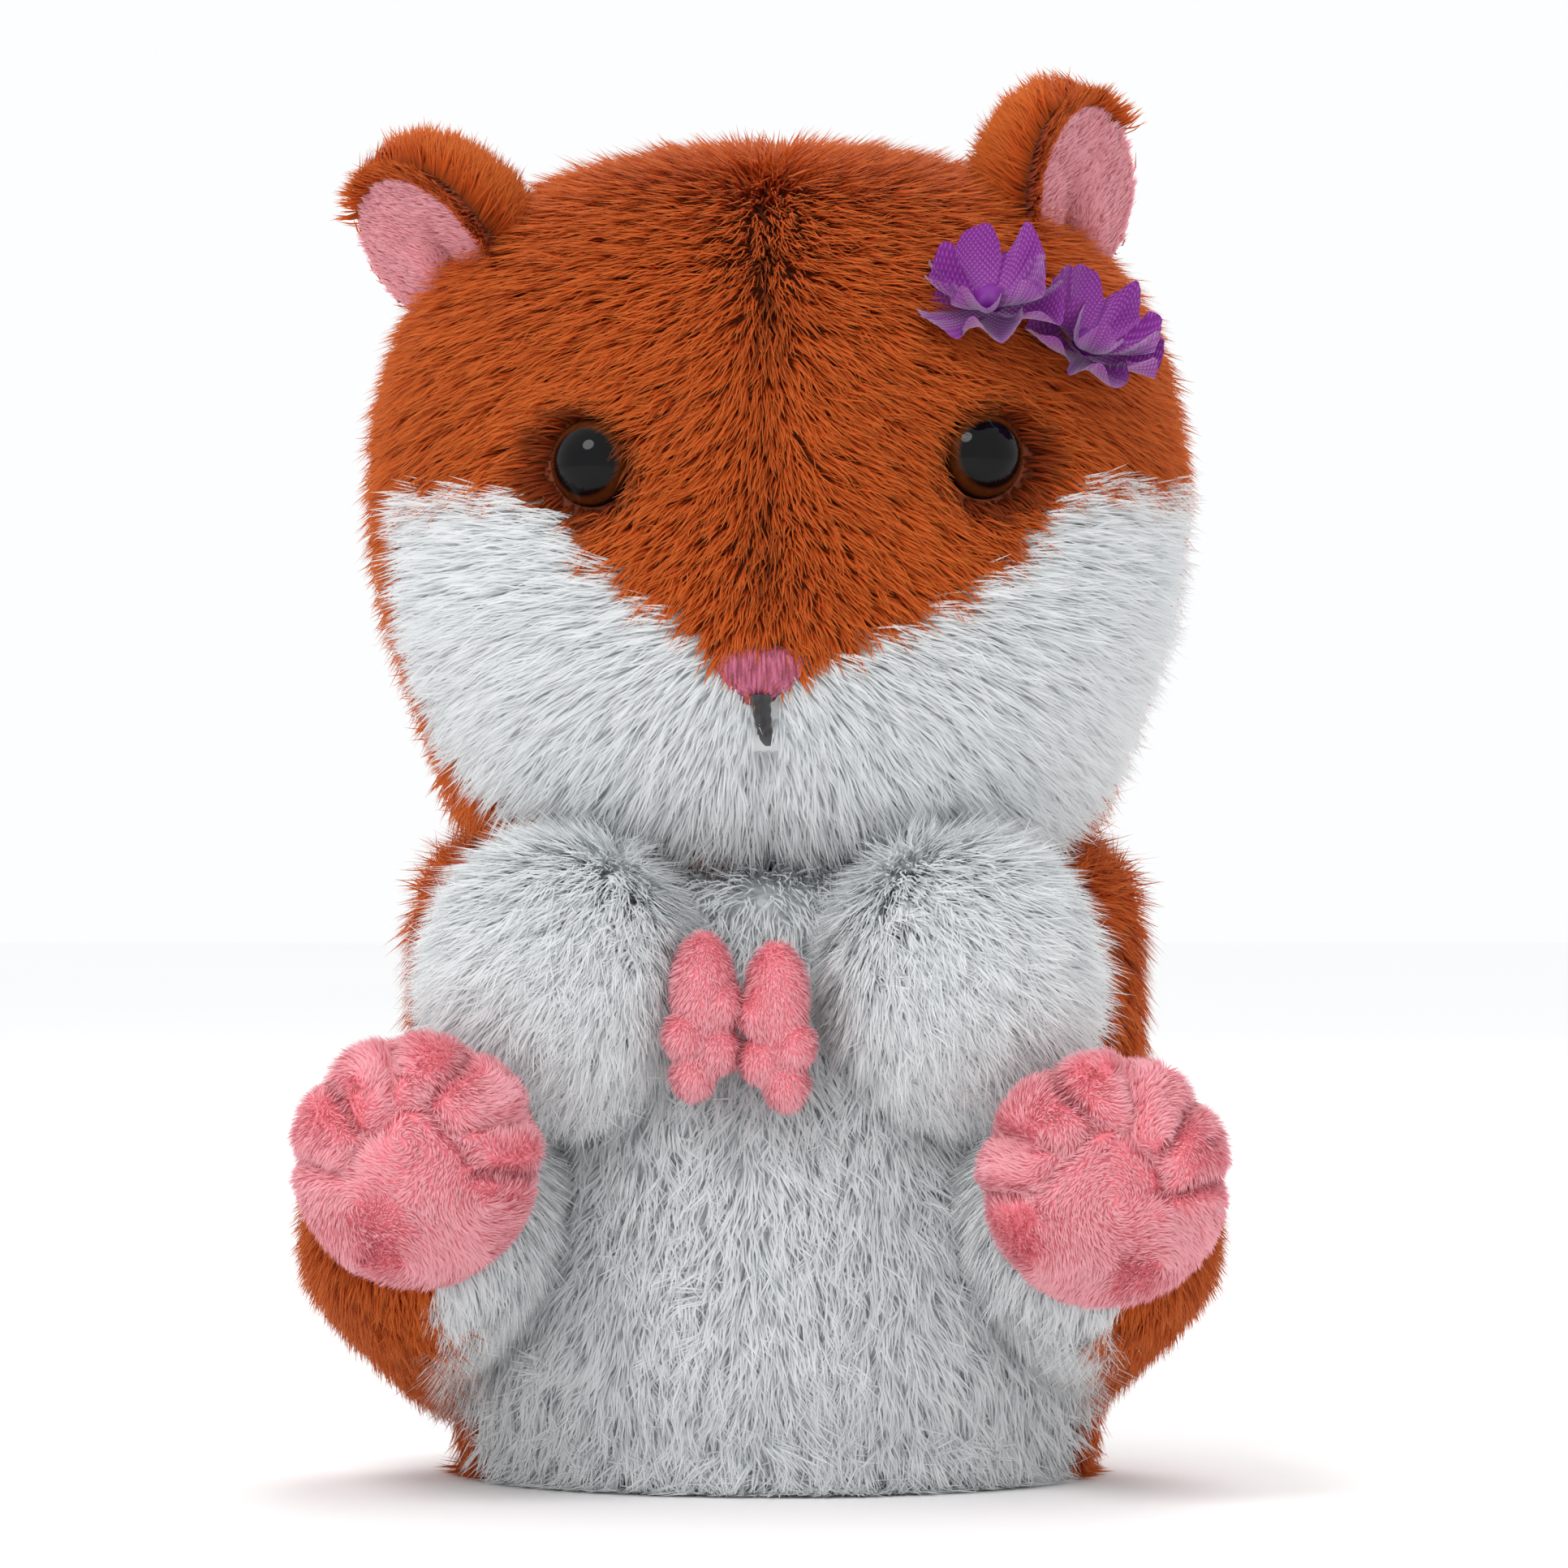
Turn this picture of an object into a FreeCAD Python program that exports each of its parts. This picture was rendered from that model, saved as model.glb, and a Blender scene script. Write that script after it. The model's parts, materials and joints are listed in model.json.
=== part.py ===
"""Interactive plush hamster: a sitting stuffed animal round a plastic chassis that turns its head.

Frame: +Z up, -Y is the side the face looks to, +X is the animal's own left. The origin is the centre
of the flat underside that it sits on. All sizes are millimetres.

The chassis is a two-part torso casing on a base plate. It holds a battery tray, a circuit board, a
loudspeaker, a motor and a gear train whose last wheel turns the hollow neck of the head frame. The
plush is sewn from panels, stuffed with fibre, and carries limbs that flex at their seams.
"""

import FreeCAD
import Part
import math
import os

Vector = FreeCAD.Vector
X_AXIS = Vector(1, 0, 0)
Y_AXIS = Vector(0, 1, 0)
Z_AXIS = Vector(0, 0, 1)

OUT_FOLDER = "parts"
PRINT_SIZES = True

# ---- clearances -------------------------------------------------------------------------------
running_gap = 0.08        # shaft in a bore, on the radius
fibre_slack = 0.1          # how much smaller the body's fibre is than the room in its cover
soft_gap = 0.3            # between two soft layers of one body
loose_gap = 0.4           # between a soft layer and a hard part
slide_gap = 0.25          # between a moving button or slider and its guide

# ---- plush covers -----------------------------------------------------------------------------
cover_thickness = 3.0     # backing cloth with its flattened pile
plush_shift = 2.5         # the stuffed body and head sit a little to the left of the frame
torso_top = 87.0          # top of the casing: the body, the neck and the head follow it
body_half_width = 54.0
body_half_depth = 46.0
body_above_torso = 7.2    # the stuffed body's top above the casing's top
head_above_torso = 8.5    # the stuffed head's underside above the casing's top
head_height = 102.0
head_half_width = 59.5
head_half_depth = 47.0
# Each ring of a bag: share of its height, half width and half depth, then centre y.
body_shape = [
    (0.0064, 0.76, 0.78, 0.0), (0.064, 0.86, 0.91, -1.0), (0.212, 0.94, 0.98, -2.0),
    (0.425, 0.98, 1.0, -2.5), (0.637, 1.0, 0.99, -2.0), (0.80, 1.0, 0.96, -1.0),
    (0.90, 0.975, 0.92, 0.0), (0.96, 0.89, 0.83, 0.0), (0.992, 0.71, 0.68, 0.0), (1.0, 0.52, 0.55, 0.0),
]
head_shape = [
    (0.0, 0.40, 0.46, -2.0), (0.017, 0.60, 0.70, -4.0), (0.064, 0.765, 0.84, -6.0),
    (0.142, 0.832, 0.915, -6.5), (0.24, 0.89, 0.957, -6.5), (0.358, 0.958, 0.99, -6.0),
    (0.505, 1.0, 1.0, -4.0), (0.652, 0.988, 0.98, -2.0), (0.779, 0.915, 0.925, -1.0),
    (0.887, 0.75, 0.79, 0.0), (0.961, 0.50, 0.57, 0.0), (1.0, 0.18, 0.23, 0.0),
]
belly_seam_y = -25.0      # the white belly panel lies in front of this plane
cheek_seam_y = {"left": -12.0, "right": -25.0}     # a white cheek panel lies in front of this plane
nose_x = 0.0              # the face's centre seam
nose_above_neck = 26.5
# Upper edge of each cheek panel from the side of the face to the nose: x, height above the neck.
cheek_edge = {
    "left": [(90.0, 53.0), (46.0, 53.5), (39.5, 50.0), (38.0, 45.0), (28.0, 38.0), (16.0, 32.0),
             (6.5, 26.5)],
    "right": [(-90.0, 52.0), (-34.0, 52.0), (-27.5, 49.0), (-24.0, 44.0), (-17.0, 38.0), (-8.0, 32.0),
              (-6.5, 26.5)],
}

# ---- face -------------------------------------------------------------------------------------
eye_radius = 6.5
eye_bulge = 4.6           # height of the dome above its flat back
# Each eye: x, height above the neck, and the turn of its face in degrees.
eye_places = {"left": (32.6, 57.4, 24.0), "right": (-24.6, 56.2, -22.0)}
eye_shank_radius = 2.0
eye_shank_length = 14.0
washer_margin = 1.5       # a washer's rim beyond the eye
washer_thickness = 1.5
nose_width = 13.0
nose_height = 7.4
nose_rise = 2.8            # the patch's top edge above the corner of the cheek panels
thread_thickness = 0.9    # how far embroidery stands above the cover
mouth_width = 1.8
mouth_length = 6.6

# ---- ears: centre with its height above the neck, half height, half width, twist about the ear's
# ---- own axis, then lean about Y, both in degrees ------------------------------------------------
ear_thickness = 14.0      # half thickness of the fur side
ear_lining_thickness = 3.0
ears = {
    "left": dict(centre=(46.0, -8.0, 97.0), height=15.5, width=13.5, twist=50.0, lean=8.0),
    "right": dict(centre=(-48.0, -10.0, 90.5), height=16.0, width=13.5, twist=-48.0, lean=-40.0),
}

# ---- two fabric flowers at the left ear, heights above the neck ------------------------------------
flowers = [dict(centre=(34.6, -41.5, 81.0), turn=0.0), dict(centre=(50.5, -30.0, 77.5), turn=38.0)]
flower_radius = 12.5
flower_petals = 5
petal_thickness = 0.8
flower_layer_gap = 1.6
flower_tilt = -40.0       # degrees about X: the face of a flower looks up and forward
flower_knot_radius = 3.0

# ---- limbs ------------------------------------------------------------------------------------
arm_x = 27.0              # an arm's middle beside the body's
arm_below_top = 13.0      # an arm's middle under the casing's top
arm_before_chest = 1.0    # an arm's middle in front of the body's half depth
arm_half = (17.0, 10.5, 18.5)
arm_drop = 3.0            # the seam that an arm swings on is this far under its top
arm_seam_depth = 4.0      # and this far behind its middle
arm_gap = 1.0             # between an arm and the chest
hand_half = (5.2, 5.0, 11.5)
# Each hand's middle from its arm's middle.
hand_offset = {"left": (-24.6, -8.5, -4.5), "right": (18.4, -8.5, -3.0)}
finger_radius = 3.2
hip_inset = 1.0           # a hip's middle inside the body's half width
hip_place = (-4.0, 27.0)  # y, z
# Each ring of a leg: distance from the hip, half width, how far its centre lies inward of the hip.
leg_rings = [
    (-15.0, 5.0, 0.0), (-12.0, 10.5, 0.0), (-4.0, 15.0, 0.0), (12.0, 15.8, 0.0), (24.0, 16.2, 0.6),
    (34.0, 17.5, 2.6), (46.0, 18.0, 4.4), (56.0, 15.0, 4.6), (60.0, 11.5, 4.6),
]
leg_rise = 20.0           # degrees that a leg points up
leg_height_ratio = 1.12   # a leg is a little taller than wide
foot_half = (17.0, 10.0, 17.5)
# Each foot's x from its hip, then its y and z.
foot_offset = {"left": (-3.0, -66.0, 50.5), "right": (1.5, -66.0, 52.5)}
hip_recess_gap = 1.2      # free width between the body and the inner side of a leg
hip_recess_radius = 20.5
hip_front_y = belly_seam_y     # in front of this plane the legs come closer together
tail_half = (7.0, 8.0, 6.5)
tail_z = 14.0
tail_behind_body = 0.5

# ---- base plate and battery tray ----------------------------------------------------------------
base_half = (37.0, 31.5)
base_corner = 20.0
base_thickness = 3.0
cell_radius = 5.25
cell_length = 44.5
cell_count = 3
cell_space = 0.7          # free width between two cells
tray_wall = 1.5
tray_length = 50.0
tray_y = 4.0              # the tray and the door lie this far behind the middle
door_thickness = 1.8
door_recess = 0.0         # the door is flush with the sitting face
door_bar_radius = 1.2     # the round bar along the door's hinge edge
door_pin_radius = 0.8
door_pin_length = 2.2
door_tab = (11.0, 7.0)    # the tab that the screw goes through, in front of the tray
door_tab_x = 17.0
door_screw_inset = 3.0    # from the tab's front edge to the screw
screw_boss_wall = 1.2
screw_bite = 1.2          # how far the door screw stands into its boss
contact_thickness = 0.4

# ---- power switch in the base ---------------------------------------------------------------------
switch_x = -8.0
switch_before_door = 5.6
switch_pocket = (14.0, 6.4, 1.4)
switch_case = (22.0, 7.4, 5.0)
switch_slot = (9.0, 3.6)
switch_travel = 4.0
switch_knob = (4.0, 3.0)

# ---- torso casing -----------------------------------------------------------------------------
torso_half_width = 35.0
tray_clearance = 0.5      # behind the tray
torso_corner = 5.0
torso_wall = 2.0
boss_radius = 2.8
boss_low_z = 30.0
boss_below_top = 6.6
boss_inset = 5.5
screw_radius = 1.2
screw_clearance = 0.3
screw_head_radius = 2.2
screw_head_height = 1.4
screw_head_sink = 0.6     # a casing screw's head lies this far under the casing's back
screw_reach = 12.0        # how far a casing screw runs into the front boss
groove_depth = 1.0

# ---- motor and gears ----------------------------------------------------------------------------
deck_below_top = 27.0
deck_thickness = 2.5
neck_teeth = 40
wheel_teeth = 36
pinion_teeth = 10
fine_module = 0.6
coarse_module = 0.8
pressure_angle = 20.0
tooth_backlash = 0.12
gear_height = 4.0
gear_step = 1.0           # free height between two gear levels
axle_radius = 1.0
second_wheel_bearing = 26.0       # direction from the neck to the second compound gear, degrees
first_wheel_bearing = 250.0       # from the second compound gear to the first one
motor_bearing = 180.0             # from the first compound gear to the motor
motor_radius = 10.0
motor_flat = 7.6
motor_length = 25.0
motor_nose_radius = 3.0
motor_nose_height = 1.6

# ---- neck and head frame --------------------------------------------------------------------------
spigot_radius = 9.0
spigot_bore = 5.5
bush_wall = 2.0
bush_height = 3.4
flange_margin = 4.5       # the flange beyond the bush
flange_thickness = 2.2
neck_margin = 3.0         # the head frame's neck beyond the spigot
skull_radius = 26.0
skull_base_rise = 10.0    # heights of the head frame above the casing's top
skull_wide_rise = 21.0
skull_split_rise = 51.0
skull_shoulder_rise = 63.0
skull_top_radius = 17.0
skull_top_rise = 76.0
skull_wall = 2.0
lap_height = 3.0          # the cap's rim sits inside the cup's rim

# ---- touch buttons ----------------------------------------------------------------------------
guide_radius = 12.0       # outside of the ring that guides a button cap
guide_wall = 1.5
guide_height = 4.0
cap_wall = 1.7
cap_top = 1.6
cap_lift = 2.2            # free height between the ring and the cap's underside
button_travel = 1.5
tact_body = 6.0
tact_height = 3.6
tact_plunger = 0.8
belly_button_z = 50.0

# ---- electronics --------------------------------------------------------------------------------
board_y = 9.0
board_thickness = 1.6
board_z = (21.0, 57.0)
speaker_radius = 17.0
speaker_depth = 8.6
speaker_z = 41.0
grille_hole_radius = 1.1
microphone_radius = 3.0
microphone_length = 4.5
microphone_x = -16.0
microphone_below_top = 15.0


# ---- sizes that follow from the driving ones -----------------------------------------------------
neck_z = torso_top + (body_above_torso + head_above_torso) / 2 + 0.15
body_top = torso_top + body_above_torso
body_rings = [
    (h * body_top, w * body_half_width, d * body_half_depth, y) for h, w, d, y in body_shape
]
head_rings = [
    (torso_top + head_above_torso + h * head_height, w * head_half_width, d * head_half_depth, y)
    for h, w, d, y in head_shape
]
washer_radius = eye_radius + washer_margin
arm_centre = (arm_x, -body_half_depth - arm_before_chest, torso_top - arm_below_top)
hand_centre = {
    side: (way * arm_centre[0] + hand_offset[side][0], arm_centre[1] + hand_offset[side][1],
           arm_centre[2] + hand_offset[side][2])
    for side, way in (("left", 1), ("right", -1))
}
leg_hip = (body_half_width - hip_inset, *hip_place)
foot_place = {
    side: (way * leg_hip[0] + foot_offset[side][0], foot_offset[side][1], foot_offset[side][2])
    for side, way in (("left", 1), ("right", -1))
}
tail_place = (0.0, body_half_depth + tail_behind_body, tail_z)
cell_pitch = 2 * cell_radius + cell_space
tray_inside = (tray_length, cell_count * cell_pitch + 2.4, 2 * cell_radius + 1.9)
door_size = (tray_length, tray_inside[1])
torso_half = (torso_half_width, tray_y + tray_inside[1] / 2 + tray_wall + tray_clearance + torso_wall)
switch_place = (switch_x, tray_y - door_size[1] / 2 - switch_before_door)
boss_x = torso_half[0] - boss_inset
boss_high_z = torso_top - boss_below_top
boss_places = [(boss_x, boss_low_z), (-boss_x, boss_low_z), (boss_x, boss_high_z), (-boss_x, boss_high_z)]
deck_bottom = torso_top - deck_below_top
bush_radius = spigot_radius + bush_wall
flange_radius = bush_radius + flange_margin
neck_radius = spigot_radius + neck_margin
skull_base_z = torso_top + skull_base_rise
skull_wide_z = torso_top + skull_wide_rise
skull_split_z = torso_top + skull_split_rise
skull_shoulder_z = torso_top + skull_shoulder_rise
skull_top_z = torso_top + skull_top_rise
microphone_place = (microphone_x, torso_top - microphone_below_top)


def box(x0, x1, y0, y1, z0, z1):
    """A block between two corners."""
    return Part.makeBox(x1 - x0, y1 - y0, z1 - z0, Vector(x0, y0, z0))


def rod(radius, start, direction, length):
    """A round bar from a point along a direction."""
    return Part.makeCylinder(radius, length, Vector(*start), Vector(*direction))


def tube(outer, inner, start, direction, length):
    """A round bar with a bore right through it."""
    return rod(outer, start, direction, length).cut(rod(inner, start, direction, length))


def rounded_block(half_x, half_y, z0, z1, corner):
    """An upright block with round vertical corners."""
    block = box(-half_x, half_x, -half_y, half_y, z0, z1)
    upright = [e for e in block.Edges if abs(e.tangentAt(e.FirstParameter).z) > 0.99]
    return block.makeFillet(corner, upright)


def ellipsoid(centre, half):
    """A closed ellipsoid with its half sizes along X, Y and Z."""
    stretch = FreeCAD.Matrix()
    stretch.scale(*half)
    ball = Part.makeSphere(1.0).transformGeometry(stretch)
    ball.translate(Vector(*centre))
    return ball


def ring_wire(z, half_x, half_y, centre_y, centre_x=0.0, points=12):
    """A closed smooth oval at one height."""
    turn = 2 * math.pi / points
    places = [
        Vector(centre_x + half_x * math.cos(i * turn), centre_y + half_y * math.sin(i * turn), z)
        for i in range(points)
    ]
    curve = Part.BSplineCurve()
    curve.interpolate(Points=places, PeriodicFlag=True)
    return Part.Wire([curve.toShape()])


def bag(rings, inset=0.0):
    """A stuffed form lofted through rings, or the same form taken in by inset on every side."""
    low, high = rings[0][0], rings[-1][0]
    middle = (low + high) / 2
    wires = []
    for z, half_x, half_y, centre_y in rings:
        reach = (z - middle) / (high - middle)
        wires.append(ring_wire(z - inset * reach, half_x - inset, half_y - inset, centre_y, plush_shift))
    return Part.makeLoft(wires, True, False)


def limb(rings, start, rise, height_ratio, way):
    """A stuffed tube along -Y from start, pointing up by rise degrees. Way is 1 on the left side."""
    wires = []
    for distance, half, inward in rings:
        wire = ring_wire(distance, half, half * height_ratio, 0.0)
        wire.translate(Vector(-way * inward, 0, 0))
        wires.append(wire)
    form = Part.makeLoft(wires, True, False)
    form.rotate(Vector(), X_AXIS, 90.0)
    form.rotate(Vector(), X_AXIS, -rise)
    form.translate(Vector(*start))
    return form


def front_surface_y(form, x, z):
    """Where the line at x and z first meets the form, coming from the front."""
    ray = Part.makeLine(Vector(x, -200, z), Vector(x, 200, z))
    return min(v.Point.y for v in ray.common(form).Vertexes)


def mirrored(shape):
    """The shape on the other side of the middle plane."""
    return shape.mirror(Vector(), X_AXIS)


def gear(teeth, module, addendum, dedendum, z0, height, bore, toward):
    """A spur gear standing on z0, with a tooth pointing to the angle toward, in degrees."""
    pitch = teeth * module / 2
    base = pitch * math.cos(math.radians(pressure_angle))
    tip = pitch + addendum * module
    root = pitch - dedendum * module
    involute = math.tan(math.radians(pressure_angle)) - math.radians(pressure_angle)
    half_at_pitch = math.pi / (2 * teeth) - tooth_backlash / (2 * pitch)

    def half_angle(radius):
        """Half a tooth's width at a radius, as an angle."""
        if radius <= base:
            return half_at_pitch + involute
        angle = math.acos(base / radius)
        return half_at_pitch + involute - (math.tan(angle) - angle)

    flank = [root, max(base, root + 0.1 * module), pitch, (pitch + tip) / 2, tip]
    outline = []
    for tooth in range(teeth):
        centre = math.radians(toward) + tooth * 2 * math.pi / teeth
        rising = [(r, centre - half_angle(r)) for r in flank]
        falling = [(r, centre + half_angle(r)) for r in reversed(flank)]
        outline += [Vector(r * math.cos(a), r * math.sin(a), z0) for r, a in rising + falling]
    face = Part.Face(Part.makePolygon(outline + outline[:1]))
    blank = face.extrude(Vector(0, 0, height))
    return blank.cut(rod(bore, (0, 0, z0), Z_AXIS, height))


def moved(shape, x, y, z=0.0):
    """The shape carried by x, y and z."""
    shape.translate(Vector(x, y, z))
    return shape


def polar(origin, distance, bearing):
    """The point at a distance and a bearing in degrees from origin, in plan."""
    angle = math.radians(bearing)
    return origin[0] + distance * math.cos(angle), origin[1] + distance * math.sin(angle)


# ---- derived sizes that several parts share ----------------------------------------------------
level_1 = deck_bottom + deck_thickness + gear_step
level_2 = level_1 + gear_height + gear_step
level_3 = level_2 + gear_height + gear_step
fine_centres = fine_module * (wheel_teeth + pinion_teeth) / 2
coarse_centres = coarse_module * (neck_teeth + pinion_teeth) / 2
second_axle = polar((0.0, 0.0), coarse_centres, second_wheel_bearing)
first_axle = polar(second_axle, fine_centres, first_wheel_bearing)
motor_axis = polar(first_axle, fine_centres, motor_bearing)
torso_inside = (torso_half[0] - torso_wall, torso_half[1] - torso_wall)
flange_z = torso_top + 1.0
tray_top = base_thickness + tray_inside[2] + tray_wall
door_back_y = tray_y + door_size[1] / 2
door_front_y = tray_y - door_size[1] / 2
door_hinge_y = door_back_y - door_bar_radius - 0.2
door_hinge_z = door_recess + door_bar_radius
door_screw_y = door_front_y - door_tab[1] + door_screw_inset
door_top = door_recess + door_thickness
cell_z = base_thickness + cell_radius + 0.9
cap_radius = guide_radius + slide_gap + cap_wall
button_height = guide_height + cap_lift + cap_top
arm_hinge = (arm_centre[1] + arm_seam_depth, arm_centre[2] + arm_half[2] - arm_drop)


# ---- chassis -----------------------------------------------------------------------------------
def base_plate():
    """The oval plate that the toy sits on, with the door opening, its screw boss and the switch pocket."""
    plate = rounded_block(*base_half, 0.0, base_thickness, base_corner)
    half_x = door_size[0] / 2
    plate = plate.cut(box(-half_x, half_x, door_front_y, door_back_y, -1, base_thickness + 1))
    boss = rod(screw_radius + screw_boss_wall, (door_tab_x, door_screw_y, base_thickness - 0.5), Z_AXIS, 4.0)
    plate = plate.fuse(boss).removeSplitter()
    half_tab = door_tab[0] / 2
    recess = box(door_tab_x - half_tab, door_tab_x + half_tab, door_front_y - door_tab[1],
                 door_front_y + 1, -1, door_top + 0.1)
    plate = plate.cut(recess)
    bite = rod(screw_radius + 0.25, (door_tab_x, door_screw_y, 0), Z_AXIS, door_top + screw_bite + 0.4)
    plate = plate.cut(bite)
    pin_hole = door_pin_radius + running_gap
    reach = half_x + door_pin_length + 0.3
    plate = plate.cut(rod(pin_hole, (-reach, door_hinge_y, door_hinge_z), X_AXIS, 2 * reach))
    x, y = switch_place
    wide, deep, high = switch_pocket
    plate = plate.cut(box(x - wide / 2, x + wide / 2, y - deep / 2, y + deep / 2, -1, high))
    long, narrow = switch_slot
    return plate.cut(box(x - long / 2, x + long / 2, y - narrow / 2, y + narrow / 2, 0, base_thickness + 1))


def battery_door():
    """The panel under the cells, with a round hinge bar, two pins and the screw's tab."""
    half_x = door_size[0] / 2 - 0.3
    low, high = door_recess, door_top
    panel = box(-half_x, half_x, door_front_y + 0.3, door_hinge_y, low, high)
    bar = rod(door_bar_radius, (-half_x, door_hinge_y, door_hinge_z), X_AXIS, 2 * half_x)
    reach = half_x + door_pin_length
    pins = rod(door_pin_radius, (-reach, door_hinge_y, door_hinge_z), X_AXIS, 2 * reach)
    half_tab = door_tab[0] / 2 - 0.3
    tab = box(door_tab_x - half_tab, door_tab_x + half_tab, door_front_y - door_tab[1] + 0.3,
              door_front_y + 1, low, high)
    panel = panel.fuse([bar, pins, tab]).removeSplitter()
    finger_dip = rod(5.0, (-6.0, door_front_y + 6.0, low - 4.2), X_AXIS, 12.0)
    hole = rod(screw_radius + running_gap, (door_tab_x, door_screw_y, low - 1), Z_AXIS, high + 2)
    sink = rod(screw_head_radius + 0.2, (door_tab_x, door_screw_y, low - 1), Z_AXIS, 1.8)
    return panel.cut(finger_dip).cut(hole).cut(sink)


def battery_door_screw():
    """The captive screw that locks the door, with a cross recess seen from below."""
    x, y, low = door_tab_x, door_screw_y, door_recess + 0.05
    head = rod(screw_head_radius, (x, y, low), Z_AXIS, 0.7)
    shank = rod(screw_radius, (x, y, low), Z_AXIS, door_top + screw_bite - low)
    cross = box(x - 1.4, x + 1.4, y - 0.25, y + 0.25, 0, low + 0.4)
    cross = cross.fuse(box(x - 0.25, x + 0.25, y - 1.4, y + 1.4, 0, low + 0.4))
    return head.fuse(shank).cut(cross)


def battery_tray():
    """The open-bottomed box over the cells, standing on the base plate."""
    half_x, half_y, high = tray_inside[0] / 2, tray_inside[1] / 2, tray_inside[2]
    wall = tray_wall
    outside = box(-half_x - wall, half_x + wall, tray_y - half_y - wall, tray_y + half_y + wall,
                  base_thickness, tray_top)
    inside = box(-half_x, half_x, tray_y - half_y, tray_y + half_y, base_thickness, base_thickness + high)
    tray = outside.cut(inside)
    for side in (-1, 1):
        tray = tray.cut(rod(1.0, (side * 20.0, tray_y, tray_top - 3), Z_AXIS, 4))
    return tray


def cell_rows():
    """The y of each cell's axis."""
    return [tray_y + (i - (cell_count - 1) / 2) * cell_pitch for i in range(cell_count)]


def battery_cells():
    """The cells side by side, each turned end for end from the one beside it."""
    cells = []
    for i, y in enumerate(cell_rows()):
        way = 1 if i % 2 == 0 else -1
        can = rod(cell_radius, (-way * cell_length / 2, y, cell_z), (way, 0, 0), cell_length - 1.2)
        cap = rod(1.9, (way * (cell_length / 2 - 1.2), y, cell_z), (way, 0, 0), 1.2)
        cells.append(can.fuse(cap))
    return Part.makeCompound(cells)


def battery_contacts():
    """Spring leaves at both ends of each cell, standing against the tray's end walls."""
    leaves = []
    wall = tray_inside[0] / 2
    for y in cell_rows():
        for side in (-1, 1):
            x = side * (wall - contact_thickness / 2)
            leaf = box(x - contact_thickness / 2, x + contact_thickness / 2, y - 3, y + 3,
                       cell_z - 4.5, cell_z + 4.5)
            reach = wall - contact_thickness - cell_length / 2 - 0.1
            x0, x1 = sorted((side * (wall - contact_thickness), side * (wall - contact_thickness - reach)))
            tongue = box(x0, x1, y - 1.5, y + 1.5, cell_z - contact_thickness, cell_z)
            nose_x0, nose_x1 = sorted((side * (cell_length / 2 + 0.1), side * (cell_length / 2 + 0.5)))
            nose = box(nose_x0, nose_x1, y - 1.5, y + 1.5, cell_z - 1.5, cell_z + 1.5)
            leaves.append(leaf.fuse([tongue, nose]))
    return Part.makeCompound(leaves)


def power_slider():
    """The on-off slider: a knob in the base's pocket on a flange that rides inside."""
    x, y = switch_place
    x -= switch_travel / 2
    wide, deep = switch_knob
    knob = box(x - wide / 2, x + wide / 2, y - deep / 2, y + deep / 2, 0.5, base_thickness + 0.2)
    flange = box(x - 7.0, x + 7.0, y - 2.4, y + 2.4, base_thickness + 0.2, base_thickness + 1.7)
    return knob.fuse(flange)


def switch_housing():
    """The slide switch's case over the slider, fixed to the base plate."""
    x, y = switch_place
    half_x, half_y, high = switch_case[0] / 2, switch_case[1] / 2, switch_case[2]
    low, high = base_thickness, base_thickness + high
    outside = box(x - half_x, x + half_x, y - half_y, y + half_y, low, high)
    inside = box(x - half_x + 1.2, x + half_x - 1.2, y - half_y + 1.0, y + half_y - 1.0, low, high - 1.5)
    return outside.cut(inside)


def torso_block(inset, top_wall):
    """The torso casing's outside taken in by inset, with top_wall off its top."""
    return rounded_block(torso_half[0] - inset, torso_half[1] - inset, base_thickness,
                         torso_top - top_wall, torso_corner - inset)


def torso_casing():
    """Both halves in one: walls, the neck bearing's seat, and grooves for the deck and the board."""
    casing = torso_block(0.0, 0.0).cut(torso_block(torso_wall, torso_wall))
    casing = casing.cut(rod(bush_radius, (0, 0, torso_top - 5), Z_AXIS, 10))
    deck_groove = torso_block(torso_wall - groove_depth, 0.0).common(
        box(-50, 50, -50, 50, deck_bottom - 0.1, deck_bottom + deck_thickness + 0.1))
    casing = casing.cut(deck_groove)
    reach = torso_inside[0] + groove_depth
    board_groove = box(-reach, reach, board_y - 0.1, board_y + board_thickness + 0.1,
                       board_z[0] - 0.2, board_z[1] + 0.2)
    return casing.cut(board_groove)


def torso_front():
    """The front half, with blind screw bosses, the belly button's ring and the microphone hole."""
    half = torso_casing().common(box(-50, 50, -50, 0, 0, torso_top + 5))
    inside = torso_inside[1] + torso_wall / 2
    bosses = [rod(boss_radius, (x, -inside, z), Y_AXIS, inside) for x, z in boss_places]
    ring = tube(guide_radius, guide_radius - guide_wall, (0, -torso_half[1] - guide_height, belly_button_z),
                Y_AXIS, guide_height + 0.5)
    half = half.fuse(bosses + [ring]).removeSplitter()
    for x, z in boss_places:
        half = half.cut(rod(screw_radius + 0.03, (x, -screw_reach - 1, z), Y_AXIS, screw_reach + 1))
    half = half.cut(rod(1.5, (0, -torso_half[1] - 1, belly_button_z + 6.0), Y_AXIS, torso_wall + 2))
    x, z = microphone_place
    return half.cut(rod(microphone_radius + 0.1, (x, -torso_half[1] - 1, z), Y_AXIS, torso_wall + 2))


def grille_places():
    """Hole centres of the loudspeaker grille: one in the middle and two rings."""
    places = [(0.0, speaker_z)]
    for radius, count in ((5.0, 6), (10.0, 12)):
        for i in range(count):
            angle = 2 * math.pi * i / count
            places.append((radius * math.cos(angle), speaker_z + radius * math.sin(angle)))
    return places


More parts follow.
